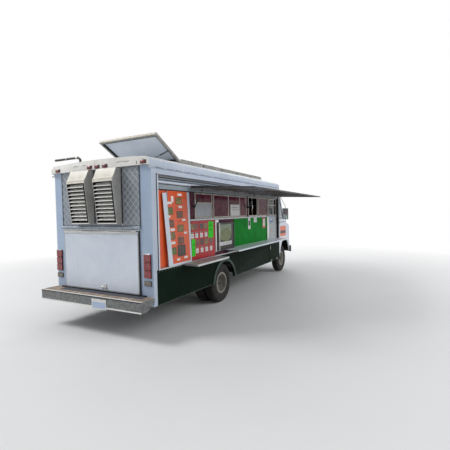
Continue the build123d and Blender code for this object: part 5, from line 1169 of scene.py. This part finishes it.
def awning_paint(p, n):
    level = DROOP.inverted() @ p
    facing = DROOP.inverted().to_3x3() @ n
    if facing.z > 0.7 and level.z > 2.293:
        return 0
    if abs(level.y - HINGE.y) < 0.01:
        return 2
    if level.y < -2.315 and facing.y < -0.7 or abs(facing.x) > 0.7 and not 0.99 < level.x < 5.61:
        return 3
    return 1


def awning_skin(p):
    """Skin that thins towards the outer edge, and a rear end that reaches the menu board's trim."""
    level = DROOP.inverted() @ p
    if level.x < 1.06:
        level.x -= 0.06
    if level.z > HINGE.z + 0.008:
        level.z -= 0.021 * min(1, (HINGE.y - level.y) / 1.2)
    return DROOP @ level


dressed("awning", (white_enamel, awning_under, anodised, black_paint), awning_paint, shape=awning_skin,
        bevel=0.0012)
canopy = Form()
canopy.block((0.986, 5.614), (-2.3178, -2.3155), (2.2695, 2.276), 0, DROOP)
for x in [1.085 + 0.232 * (1 + i % 2) + 0.755 * (i // 2) for i in range(12)]:
    canopy.block((x, x + 0.012), (-2.278, -1.17), (2.283, 2.289), 1, DROOP)
made(canopy, "awning_lip_and_battens", (black_paint, awning_under), "awning", "aluminium", bevel=0.0006)
rivets("awning_rivets", [[DROOP @ Vector(p) for p in line((1.08, 5.58), y, z)]
                         for y, z in ((-2.296, 2.295), (-1.152, 2.3146))],
       0.09, 0.004, (1, 1, 0.6), zinc, "awning")


def stouter(low, high, by):
    """Shape of a strut that is by times as thick in life, about its line from low to high."""
    low, high = Vector(low), Vector(high)
    axis = (high - low).normalized()

    def place(p):
        if min((p - low).length, (p - high).length) < 0.03:
            return p
        foot = low + axis * (p - low).dot(axis)
        return foot + by * (p - foot)
    return place


for end, x in (("rear", 1.2), ("front", 3.54)):
    thicker = stouter((x, -1.064, 1.96), (x, -1.2207, 2.2355), 1.4)
    dressed("strut_barrel_" + end, black_paint, shape=thicker, bevel=0.0008, smooth=50)
    dressed("strut_rod_" + end, black_paint, shape=thicker, bevel=0.0004, smooth=50)

# Shelf: ribs pressed in its top, and its rolled edge
ribs = Form()
for y in (-1.15, -1.2, -1.25, -1.3, -1.35):
    ribs.tube([(0.78, y, 0.9992), (1.83, y, 0.9992)], 0.0022, 8, 0)
ribs.block((0.75, 1.86), (-1.3912, -1.389), (0.968, 1.0006), 1)
made(ribs, "shelf_ribs", (aluminium, anodised), "shelf", "aluminium", bevel=0.0005)


# Lower right side: locker door, seams and its latch

dressed("locker_door", (green_enamel, zinc), bevel=0.0015,
        paint=lambda p, n: 1 if p.y < -HALF_W - 0.0025 or p.z < 0.497 else 0)
latch = Form().blocks((4.8655, 5.6245, -HALF_W - 0.0028, -HALF_W - 0.0018, 0.93, 0.934, 1))
for x, z in ((4.885, 0.52), (5.605, 0.52), (4.885, 0.945), (5.605, 0.945)):
    latch.lathe((x, -HALF_W - 0.002, z), (0, -1, 0), ((0, 0), (0.006, 0), (0.005, 0.0025), (0, 0.003)), 8)
latch.block((4.899, 4.923), (-HALF_W - 0.0185, -HALF_W - 0.0155), (0.812, 0.902))
latch.lathe((4.911, -HALF_W - 0.018, 0.835), (0, -1, 0),
            ((0, 0), (0.008, 0), (0.008, 0.004), (0, 0.004)), 12)
latch.tube([(4.911, -HALF_W - out, z) for out, z in ((0.0195, 0.85), (0.0215, 0.868), (0.0195, 0.89))],
           0.0035, 8)
made(latch, "locker_latch_and_screws", (zinc, faded_green), "locker_door", "galvanised", bevel=0.0004)
low = Form()
for x in (2.95, 4.84, 5.66):
    low.block(span(x, 0.004), (-HALF_W - 0.0016, -HALF_W), (0.47, 0.985))
low.blocks((0.09, 1.7, -HALF_W - 0.003, -HALF_W, 0.458, 0.47, 1),
           (2.75, 4.83, -HALF_W - 0.003, -HALF_W, 0.458, 0.47, 1),
           (0.09, 4.72, HALF_W, HALF_W + 0.003, 0.975, 0.987, 0))
made(low, "skirt_seams", (green_enamel, faded_green), slot="green_paint", bevel=0.0004)


# Wheels: tyres with tread blocks, painted steel rims with hubs, nuts and valves

TYRE_W, RIM_R = 0.215, 0.203
TREAD_R = TYRE_R - 0.0095
# Outside of the tyre from its bead to its tread: radius, and distance from the middle
HALF_TYRE = TYRE_W / 2
WALL = ([(RIM_R + up, -HALF_TYRE + inward) for up, inward in (
            (0.002, 0.032), (0.017, 0.031), (0.03, 0.014), (0.045, 0.005), (0.052, 0.0065), (0.056, 0.003))]
        + [(TYRE_R - down, -HALF_TYRE + inward) for down, inward in (
            (0.1, 0), (0.08, 0.001), (0.05, 0.01), (0.046, 0.009), (0.03, 0.018), (0.012, 0.03),
            (0.0095, 0.046))])
GROOVES = [(TREAD_R - deep, groove + beside) for groove in (-0.033, 0.0, 0.033)
           for deep, beside in ((0, -0.005), (0.0075, -0.004), (0.0075, 0.004), (0, 0.005))]
TYRE = WALL + GROOVES + [(r, -w) for r, w in reversed(WALL)]
TREAD_ROWS = ((-0.05, 0.024), (-0.0165, 0.021), (0.0165, 0.021), (0.05, 0.024))    # place and width


def ring_of():
    """Sets one shape Count times round an axle, and gives it its finish."""
    tree, given = growth("ring_of_shapes", "Ring", Shape="Geometry", Count="Int", Centre="Vector",
                         Finish="Material")
    spots = add(tree, "Points", Count=given["Count"])
    index = add(tree, "InputIndex")
    part = add(tree, "Math", index, given["Count"], operation="DIVIDE")
    turn = add(tree, "Math", part, 2 * pi, operation="MULTIPLY")
    about = add(tree, "CombineXYZ", Y=turn)
    shapes = add(tree, "InstanceOnPoints", Points=spots, Instance=given["Shape"], Rotation=about)
    real = add(tree, "RealizeInstances", Geometry=shapes)
    moved = add(tree, "Transform", Geometry=real, Translation=given["Centre"])
    coated = add(tree, "SetMaterial", Geometry=moved, Material=given["Finish"])
    add(tree, "GroupOutput", Ring=coated)
    return tree


RING = ring_of()


def ring(form, count, centre, finish):
    """The form's shape repeated round a wheel's centre, as a mesh."""
    start = bpy.data.meshes.new("one_of_ring")
    bmesh.ops.recalc_face_normals(form.mesh, faces=form.mesh.faces)
    form.mesh.to_mesh(start)
    form.mesh.free()
    return grown("ring", RING, start, {"Count": count, "Centre": centre + ORIGIN, "Finish": finish})


def tread_blocks(centre):
    """Blocks of the tread, in four rows, every second row set back half a block."""
    block = Form()
    for k, (w, width) in enumerate(TREAD_ROWS):
        for half in (0, 1):
            start = -0.026 + 0.0262 * half + (0.013 if k % 2 else 0) - 0.006
            a0, a1 = start / TYRE_R, (start + 0.021) / TYRE_R
            y0, y1 = w - width / 2, w + width / 2
            foot = ((a0, y0), (a1, y0), (a1, y1), (a0, y1))
            block.skin([[Vector((r * sin(a), y, r * cos(a))) for a, y in foot]
                        for r in (TYRE_R - 0.011, TYRE_R - 0.0006)])
    return ring(block, 48, centre, tyre_rubber)


def wheel(label, body, ends, side, x, tyres, nuts_y, hub_y):
    """One wheel or a pair: tyres, then the rims' own CAD shape with hub, nuts and valve added."""
    form, out = Form(), (0, side, 0)
    for y in tyres:
        form.lathe((x, y, TYRE_R), (0, 1, 0), TYRE, 72, closed=True)
    name = label + ("_right" if side < 0 else "_left")
    nodes = [f"{word}{ends}" + name[len(label):] for word in (label + "_tyre", label + "_rim")]
    tyre = made(form, name + "_tyre", tyre_rubber, body, "rubber", smooth=38, stands_for=(nodes[0],))
    mesh = bmesh.new()
    mesh.from_mesh(tyre.data)
    for y in tyres:
        mesh.from_mesh(tread_blocks(Vector((x, y, TYRE_R))))
    mesh.to_mesh(tyre.data)
    mesh.free()
    dressed(nodes[1], wheel_enamel, name=name + "_rim", bevel=0.0012, smooth=45)
    nut, foot = Form(), (0.11, nuts_y, 0)
    nut.lathe(foot, out, head(0.0135, 0.012, 0.01, 0.017), 6)
    nut.lathe(foot, out, ((0.0, 0.012), (0.006, 0.012), (0.006, 0.024), (0, 0.024)), 8)
    placed(name + "_nuts", ring(nut, 8, Vector((x, 0, TYRE_R)), zinc), body, "wheel_paint")
    hub = Form()
    hub.lathe((x, hub_y, TYRE_R), out, ((0, 0), (0.058, 0), (0.058, 0.006), (0.05, 0.011), (0.034, 0.013),
                                        (0.03, 0.022), (0, 0.024)))
    hub.tube([(x + 0.172, nuts_y, TYRE_R), (x + 0.178, nuts_y + side * 0.03, TYRE_R)], 0.0035, 8, 1)
    made(hub, name + "_hub_and_valve", (casting, seal_rubber), body, "wheel_paint", bevel=0.0008)


for side, label in ((-1, "right"), (1, "left")):
    y = side * 0.88
    wheel("front", "front_wheel_" + label, "", side, FRONT_AXLE_X, (y,), y + side * 0.028, y + side * 0.062)
    wheel("rear", "rear_wheels_" + label, "s", side, REAR_AXLE_X, (side * 0.668, side * 0.933),
          side * 0.8125, side * 0.905)


# Roof: framed panels on rails, the tilted one at the rear, and the bent pipe

def panel_paint(p, n):
    # Grey of painted shade on the frames' sides and low faces
    if n.z > 0.9 and 2.785 < p.z < 2.7945:
        return 1
    return 2 if abs(n.y) > 0.7 or p.z < 2.75 else 0


dressed("roof_panels", (anodised, panel_cells, frame_shade_grey), panel_paint, bevel=0.001)
TILT = turned((1.15, 0, 2.772), radians(29.7), "Y")


def tilt_paint(p, n):
    """Cells above and a pale sheet below, within the frame; its rear bar in the cream of painted sunlight,
    the rest of the frame in the grey of painted shade.
    """
    level = TILT.inverted() @ p
    facing = TILT.inverted().to_3x3() @ n
    if -0.751 < level.y < 0.461 and 0.446 < level.x < 1.111:
        if facing.z > 0.9 and level.z > 2.79:
            return 2
        if facing.z < -0.9 and level.z > 2.78:
            return 1
    return 3 if level.x < 0.448 else 4


dressed("tilt_panel", (anodised, panel_back, panel_cells, frame_sunlit_cream, frame_shade_grey), tilt_paint, bevel=0.001)
# The liner is thinner beside the stay, which folds up against it
LINER_Z = (2.762, 2.795)
made(Form().blocks(
    (0.4465, 0.46, -0.75, 0.46, *LINER_Z, 0), (1.099, 1.1105, -0.75, 0.46, *LINER_Z, 0),
    (0.447, 1.11, 0.444, 0.4605, *LINER_Z, 0), (0.447, 0.9, -0.7505, -0.747, *LINER_Z, 0),
    (0.9, 1.11, -0.7505, -0.739, *LINER_Z, 0), (0.4035, 0.407, -0.789, 0.499, 2.764, 2.806, 2), turn=TILT),
    "tilt_panel_liner", (seal_rubber, black_paint, frame_sunlit_cream), "tilt_panel", "aluminium")
PANELS_X = [1.195 + i * 0.784 for i in range(5)]
clips = Form()
for x in PANELS_X[1:]:
    for y in (-0.7, 0.41):
        clips.lathe((x - 0.012, y, 2.8075), (0, 0, 1), head(0.008, 0.004, 0.005, 0.006), 6)
for x in PANELS_X[1:]:
    clips.blocks((x - 0.032, x + 0.008, -0.7935, -0.784, 2.766, 2.801, 1),
                 (x - 0.046, x - 0.038, -0.7925, -0.784, 2.76, 2.796, 0))
for x in PANELS_X:
    clips.blocks((x + 0.012, x + 0.748, -0.789, -0.764, 2.7955, 2.822, 2),
                 (x + 0.34, x + 0.372, -0.79, -0.763, 2.7965, 2.8225, 1))
for x in (1.16, 2.4, 3.6, 4.8):
    for y in (-0.64, 0.35):
        clips.block(span(x, 0.035), span(y, 0.04), (2.7085, 2.724), 1)
made(clips, "panel_clips_and_feet", (zinc, black_paint, frame_shade_grey), slot="aluminium", bevel=0.001)
dressed("stay_barrel", black_paint, bevel=0, smooth=50,
        shape=stouter((0.47, -0.738, 2.735), (0.8787, -0.738, 2.9221), 1.5))
repaint(black_paint, "stay_rod")
dressed("roof_pipe", (black_paint, zinc), bevel=0.0005, smooth=50,
        paint=lambda p, n: 1 if p.z < 2.725 else 0)
collar = Form()
for y0, y1 in ((0.875, 0.925), (1.16, 1.185)):
    collar.lathe((0.34, y0, 2.885), (0, 1, 0),
                 ((0.0214, 0), (0.024, 0.003), (0.024, y1 - y0 - 0.003), (0.0214, y1 - y0)), 24, closed=True)
made(collar, "pipe_collars", zinc, slot="galvanised", smooth=50)


# Nose and cab

dressed("grille", (white_enamel, chrome, shade_black_inside), bevel=0.002,
        paint=lambda p, n: 1 if abs(p.y) < 0.329 and 0.86 < p.z < 1.21 and n.x > -0.5 else 0)
NOSE_FACE = NOSE_X - 0.001
nose = Form()
for side in SIDES:
    y = side * 0.44
    nose.lathe((NOSE_X - 0.006, y, 1.03), (1, 0, 0),
               ((0.0925, -0.006), (0.104, -0.006), (0.104, 0.002), (0.099, 0.0055), (0.0925, 0.002)), 40,
               closed=True)
    nose.lathe((NOSE_X - 0.0115, y, 1.03), (1, 0, 0), ((0, 0), (0.03, 0), (0.026, 0.003), (0, 0.004)), 24, 1)
    for z in (0.885, 1.17):
        nose.block((NOSE_X - 0.006, NOSE_FACE), span(y, 0.07), span(z, 0.018), 2)
# Near-black sheet behind the grille: painted shade
nose.block((NOSE_X - 0.03, NOSE_X - 0.028), (-0.33, 0.33), (0.85, 1.21), 3)
for y, z in (((-0.345, 0.345), (0.842, 0.852)), ((-0.345, 0.345), (1.206, 1.216)),
             ((-0.345, -0.337), (0.842, 1.216)), ((0.337, 0.345), (0.842, 1.216))):
    nose.block((NOSE_X - 0.005, NOSE_FACE), y, z)
made(nose, "nose_fittings", (chrome, clear_lens, amber_lens, shade_black_inside), slot="chrome", bevel=0.0008)


def screen_x(z):
    """Face of the sloping windscreen at height z."""
    return 6.18 + (5.745 - 6.18) / (EAVES - 1.585) * (z - 1.585)


def on_screen(y, z, proud):
    return Vector((screen_x(z) + proud, y, z))


cab = Form()
for side in SIDES:
    # Seals of the windscreen and the side window, then wiper, side moulding and turn lamp
    y0, y1, z0, z1 = side * 0.025, side * 0.99, 1.64, 2.42
    for a, b, c, d in ((y0, z0, y1, z0), (y0, z1, y1, z1), (y0, z0, y0, z1), (y1, z0, y1, z1)):
        cab.tube([on_screen(a, b, 0.001), on_screen(c, d, 0.001)], 0.0065, 8)
    cab.border([(x, side * HALF_W, z) for x, z in (
        (5.75, 1.64), (screen_x(1.64) - 0.088, 1.64), (screen_x(2.28) - 0.088, 2.28), (5.75, 2.28))],
        0.005)
    pivot, tip = on_screen(side * 0.3, 1.615, 0.004), on_screen(side * 0.52, 2.05, 0.01)
    cab.lathe(pivot, (0.9, 0, 0.43), head(0.014, 0.01, 0.008, 0.016, -0.006), 16, 1)
    elbow = pivot.lerp(tip, 0.5) + Vector((0.014, 0, 0.006))
    cab.tube([pivot + Vector((0.008, 0, 0.004)), elbow, tip], [0.006, 0.004, 0.003], 8, 1)
    cab.tube([on_screen(side * 0.475, 1.82, 0.006), on_screen(side * 0.56, 2.27, 0.006)], 0.0045, 6, 1)
    cab.block((5.72, NOSE_X - 0.15), off(side, HALF_W, HALF_W + 0.0022), (1.251, 1.259), 2)
    cab.block((6.63, 6.69), off(side, 1.0835, 1.0925), (0.815, 0.85), 3)
made(cab, "cab_seals_and_wipers", (seal_rubber, black_paint, white_enamel, amber_lens), slot="rubber",
     smooth=50)
made(Form().blocks((5.783, 6.321, WALL_FACE - 0.002, WALL_FACE, 1.102, 1.408, 0),
                   (5.8, 6.3, WALL_FACE - 0.0026, WALL_FACE, 1.185, 1.272, 1)),
     "cab_side_sign", (orange_print, dark_print), slot="orange_board", bevel=0.0004)

# Mirrors: white heads with silvered glass on bright tube arms
for side, label in zip(SIDES, ("right", "left")):
    dressed("mirrors", (chrome, white_enamel), name="mirror_" + label, bevel=0.001, smooth=50,
            only=lambda low, high: low.y * side > 0,
            paint=lambda p, n: 1 if abs(p.y) > HALF_W + 0.104 and 1.6 < p.z < 1.95 else 0)
    y0, y1 = off(side, HALF_W + 0.119, HALF_W + 0.261)
    mirror = Form().block((5.7005, 5.703), (y0, y1), (1.628, 1.922))
    for y, z in (((y0 - 0.004, y0), (1.624, 1.926)), ((y1, y1 + 0.004), (1.624, 1.926)),
                 ((y0, y1), (1.624, 1.628)), ((y0, y1), (1.922, 1.926))):
        mirror.block((5.699, 5.703), y, z, 1)
    made(mirror, "mirror_glass_" + label, (mirror_glass, seal_rubber), slot="chrome")


# Left side: window, filler and louvre, then the fittings of the driver's door

left = Form()
left.border(upright(3.3, 4.3, HALF_W, 1.75, 2.15), 0.007)
left.block((3.797, 3.803), (HALF_W - 0.02, HALF_W - 0.012), (1.752, 2.148), 1)
left.lathe((1.45, HALF_W, 0.845), (0, 1, 0),
           ((0, -0.004), (0.062, -0.004), (0.062, 0.003), (0.052, 0.004), (0.048, 0.016), (0, 0.018)), 32, 2)
for z in [1.3 + k * 0.034 for k in range(8)]:
    left.slab([(0.4, HALF_W, z), (0.7, HALF_W, z), (0.7, HALF_W + 0.012, z - 0.014),
               (0.4, HALF_W + 0.012, z - 0.014)], (0, 0, 0.0025), 1)
left.block((0.375, 0.725), (HALF_W, HALF_W + 0.003), (1.265, 1.565), 1)
made(left, "left_side_fittings", (seal_rubber, anodised, zinc), slot="aluminium", bevel=0.0005)
door = Form()
door.border(upright(5.035, 5.535, HALF_W, 1.565, 2.3), 0.006)
door.blocks((4.985, 5.585, HALF_W, HALF_W + 0.0025, 1.25, 1.262, 1),
            (4.985, 5.585, HALF_W, HALF_W + 0.003, 0.66, 0.9, 2))
door.lathe((5.1, HALF_W, 1.33), (0, 1, 0), head(0.014, 0.005, 0.009, 0.007, -0.002), 20, 2)
made(door, "driver_door_fittings", (seal_rubber, white_enamel, aluminium), "driver_door", "rubber",
     bevel=0.0005)


# Inside the cab: dash, wheel, and the driver's seat

dressed("cab_interior", dash_plastic, name="dash_and_steering_wheel", only=lambda low, high: low.x > 5.5,
        bevel=0.003, smooth=50)
cluster = Form()
cluster.slab([(5.897, 0.34, 1.405), (5.897, 0.72, 1.405), (5.962, 0.72, 1.485), (5.962, 0.34, 1.485)],
             (-0.006, 0, 0.006))
for y, r in ((0.44, 0.036), (0.53, 0.028), (0.62, 0.036)):
    cluster.lathe((5.926, y, 1.45), (-0.78, 0, 0.62),
                  ((0, 0), (r, 0), (r, 0.003), (r - 0.004, 0.004), (r - 0.006, 0.001), (0, 0.001)), 28, 1)
made(cluster, "gauges", (black_paint, anodised), slot="cab_trim")
dressed("cab_interior", black_paint, name="seat_pedestal", only=lambda low, high: low.x < 5.5, bevel=0.003,
        paint=lambda p, n: 0 if p.z < 1.081 else None)


def evaluated(piece):
    """Plain mesh of a piece with its modifiers applied; they are taken off."""
    mesh = bpy.data.meshes.new_from_object(piece.evaluated_get(bpy.context.evaluated_depsgraph_get()))
    piece.modifiers.clear()
    return mesh


def swell(piece, voxel, reach):
    """Cloth blown up from inside, applied, with no point further than reach from its start."""
    modifier = piece.modifiers.new("remesh", "REMESH")
    modifier.mode, modifier.voxel_size = "VOXEL", voxel
    data = evaluated(piece)
    data.name, piece.data = piece.data.name, data
    cloth = piece.modifiers.new("cloth", "CLOTH").settings
    cloth.use_pressure, cloth.uniform_pressure_force = True, 4
    cloth.tension_stiffness, cloth.compression_stiffness = 30, 30
    cloth.effector_weights.gravity = 0
    for number in range(1, 21):
        bpy.context.scene.frame_set(number)
    blown = evaluated(piece)
    for vert, new in zip(data.vertices, blown.vertices):
        move = new.co - vert.co
        vert.co += move * min(1, reach / max(move.length, 1e-9))
    bpy.context.scene.frame_set(1)
    data.polygons.foreach_set("use_smooth", [True] * len(data.polygons))


def seat_pad(name, *rings):
    """Cushion swollen between its seams, from a low and a high rectangle: x, y and z ranges."""
    form = Form()
    form.skin([[(x0, y0, z), (x1, y0, z), (x1, y1, z), (x0, y1, z)] for x0, x1, y0, y1, z in rings])
    pad = made(form, name, seat_vinyl, slot="cab_trim", stands_for=("cab_interior",))
    swell(pad, 0.011, 0.014)
    sub = pad.modifiers.new("smooth", "SUBSURF")
    sub.levels = sub.render_levels = 1


seat_pad("seat_cushion", (4.975, 5.425, 0.315, 0.745, 1.092), (4.985, 5.415, 0.325, 0.735, 1.166))
seat_pad("seat_back", (4.996, 5.068, 0.325, 0.735, 1.196), (4.944, 4.998, 0.335, 0.725, 1.744))


# Floor and light

def seen_rays(tree):
    """One for the rays that meet the eye, straight or by a mirror or a pane, and zero for light."""
    rays = add(tree, "LightPath").outputs
    seen = add(tree, "Math", rays["Is Camera Ray"], rays["Is Glossy Ray"], operation="MAXIMUM")
    return add(tree, "Math", seen, rays["Is Transmission Ray"], operation="MAXIMUM")


floor_material = finish("studio_floor", "#E3E3E2", "#DFDFDE", 2.0, (0.8, 0.9), 0.01, 0.00001)
# Away from the truck the floor fades into the white of the backdrop, for the eye and for reflections
tree = floor_material.node_tree
reach = add(tree, "VectorMath", add(tree, "TexCoord").outputs["Object"], operation="LENGTH")
fade = add(tree, "MapRange", Value=reach.outputs["Value"], From_Min=4.2, From_Max=11.0)
share = add(tree, "Math", seen_rays(tree), fade, operation="MULTIPLY")
white = add(tree, "Emission", Color=srgb("#FFFFFF"), Strength=1.0)
both = add(tree, "MixShader", share, tree.nodes["Principled BSDF"], white)
tree.links.new(both.outputs[0], tree.nodes["Material Output"].inputs["Surface"])
data = bpy.data.meshes.new("studio_floor")
data.from_pydata([(-60, -60, 0), (60, -60, 0), (60, 60, 0), (-60, 60, 0)], [], [(0, 1, 2, 3)])
data.materials.append(floor_material)
ground = bpy.data.objects.new("studio_floor", data)
bpy.context.collection.objects.link(ground)

world = bpy.data.worlds.new("studio")
bpy.context.scene.world = world
world.use_nodes = True
sky = world.node_tree
sky.nodes.clear()
seen = seen_rays(sky)
soft = add(sky, "Background", Color=srgb("#EEF2F9"), Strength=0.45)
plain = add(sky, "Background", Color=srgb("#FFFFFF"), Strength=1.0)
both = add(sky, "MixShader", seen, soft, plain)
add(sky, "OutputWorld", Surface=both)

for name, place, aim, size, power in (("key", (-6.5, 7.0, 9.5), (-1.5, 0.0, 1.4), 4.0, 780),
                                      ("side", (1.0, -11.0, 7.0), (0.5, 0.0, 1.2), 7.0, 480),
                                      ("front", (10.5, 2.0, 7.0), (2.0, 0.0, 1.2), 6.0, 330)):
    lamp = bpy.data.lights.new(name, "AREA")
    lamp.size, lamp.energy = size, power
    light = bpy.data.objects.new(name, lamp)
    towards = (Vector(aim) - Vector(place)).to_track_quat("-Z", "Y")
    light.matrix_world = Matrix.Translation(place) @ towards.to_matrix().to_4x4()
    bpy.context.collection.objects.link(light)

bpy.context.scene.view_settings.view_transform = "Standard"
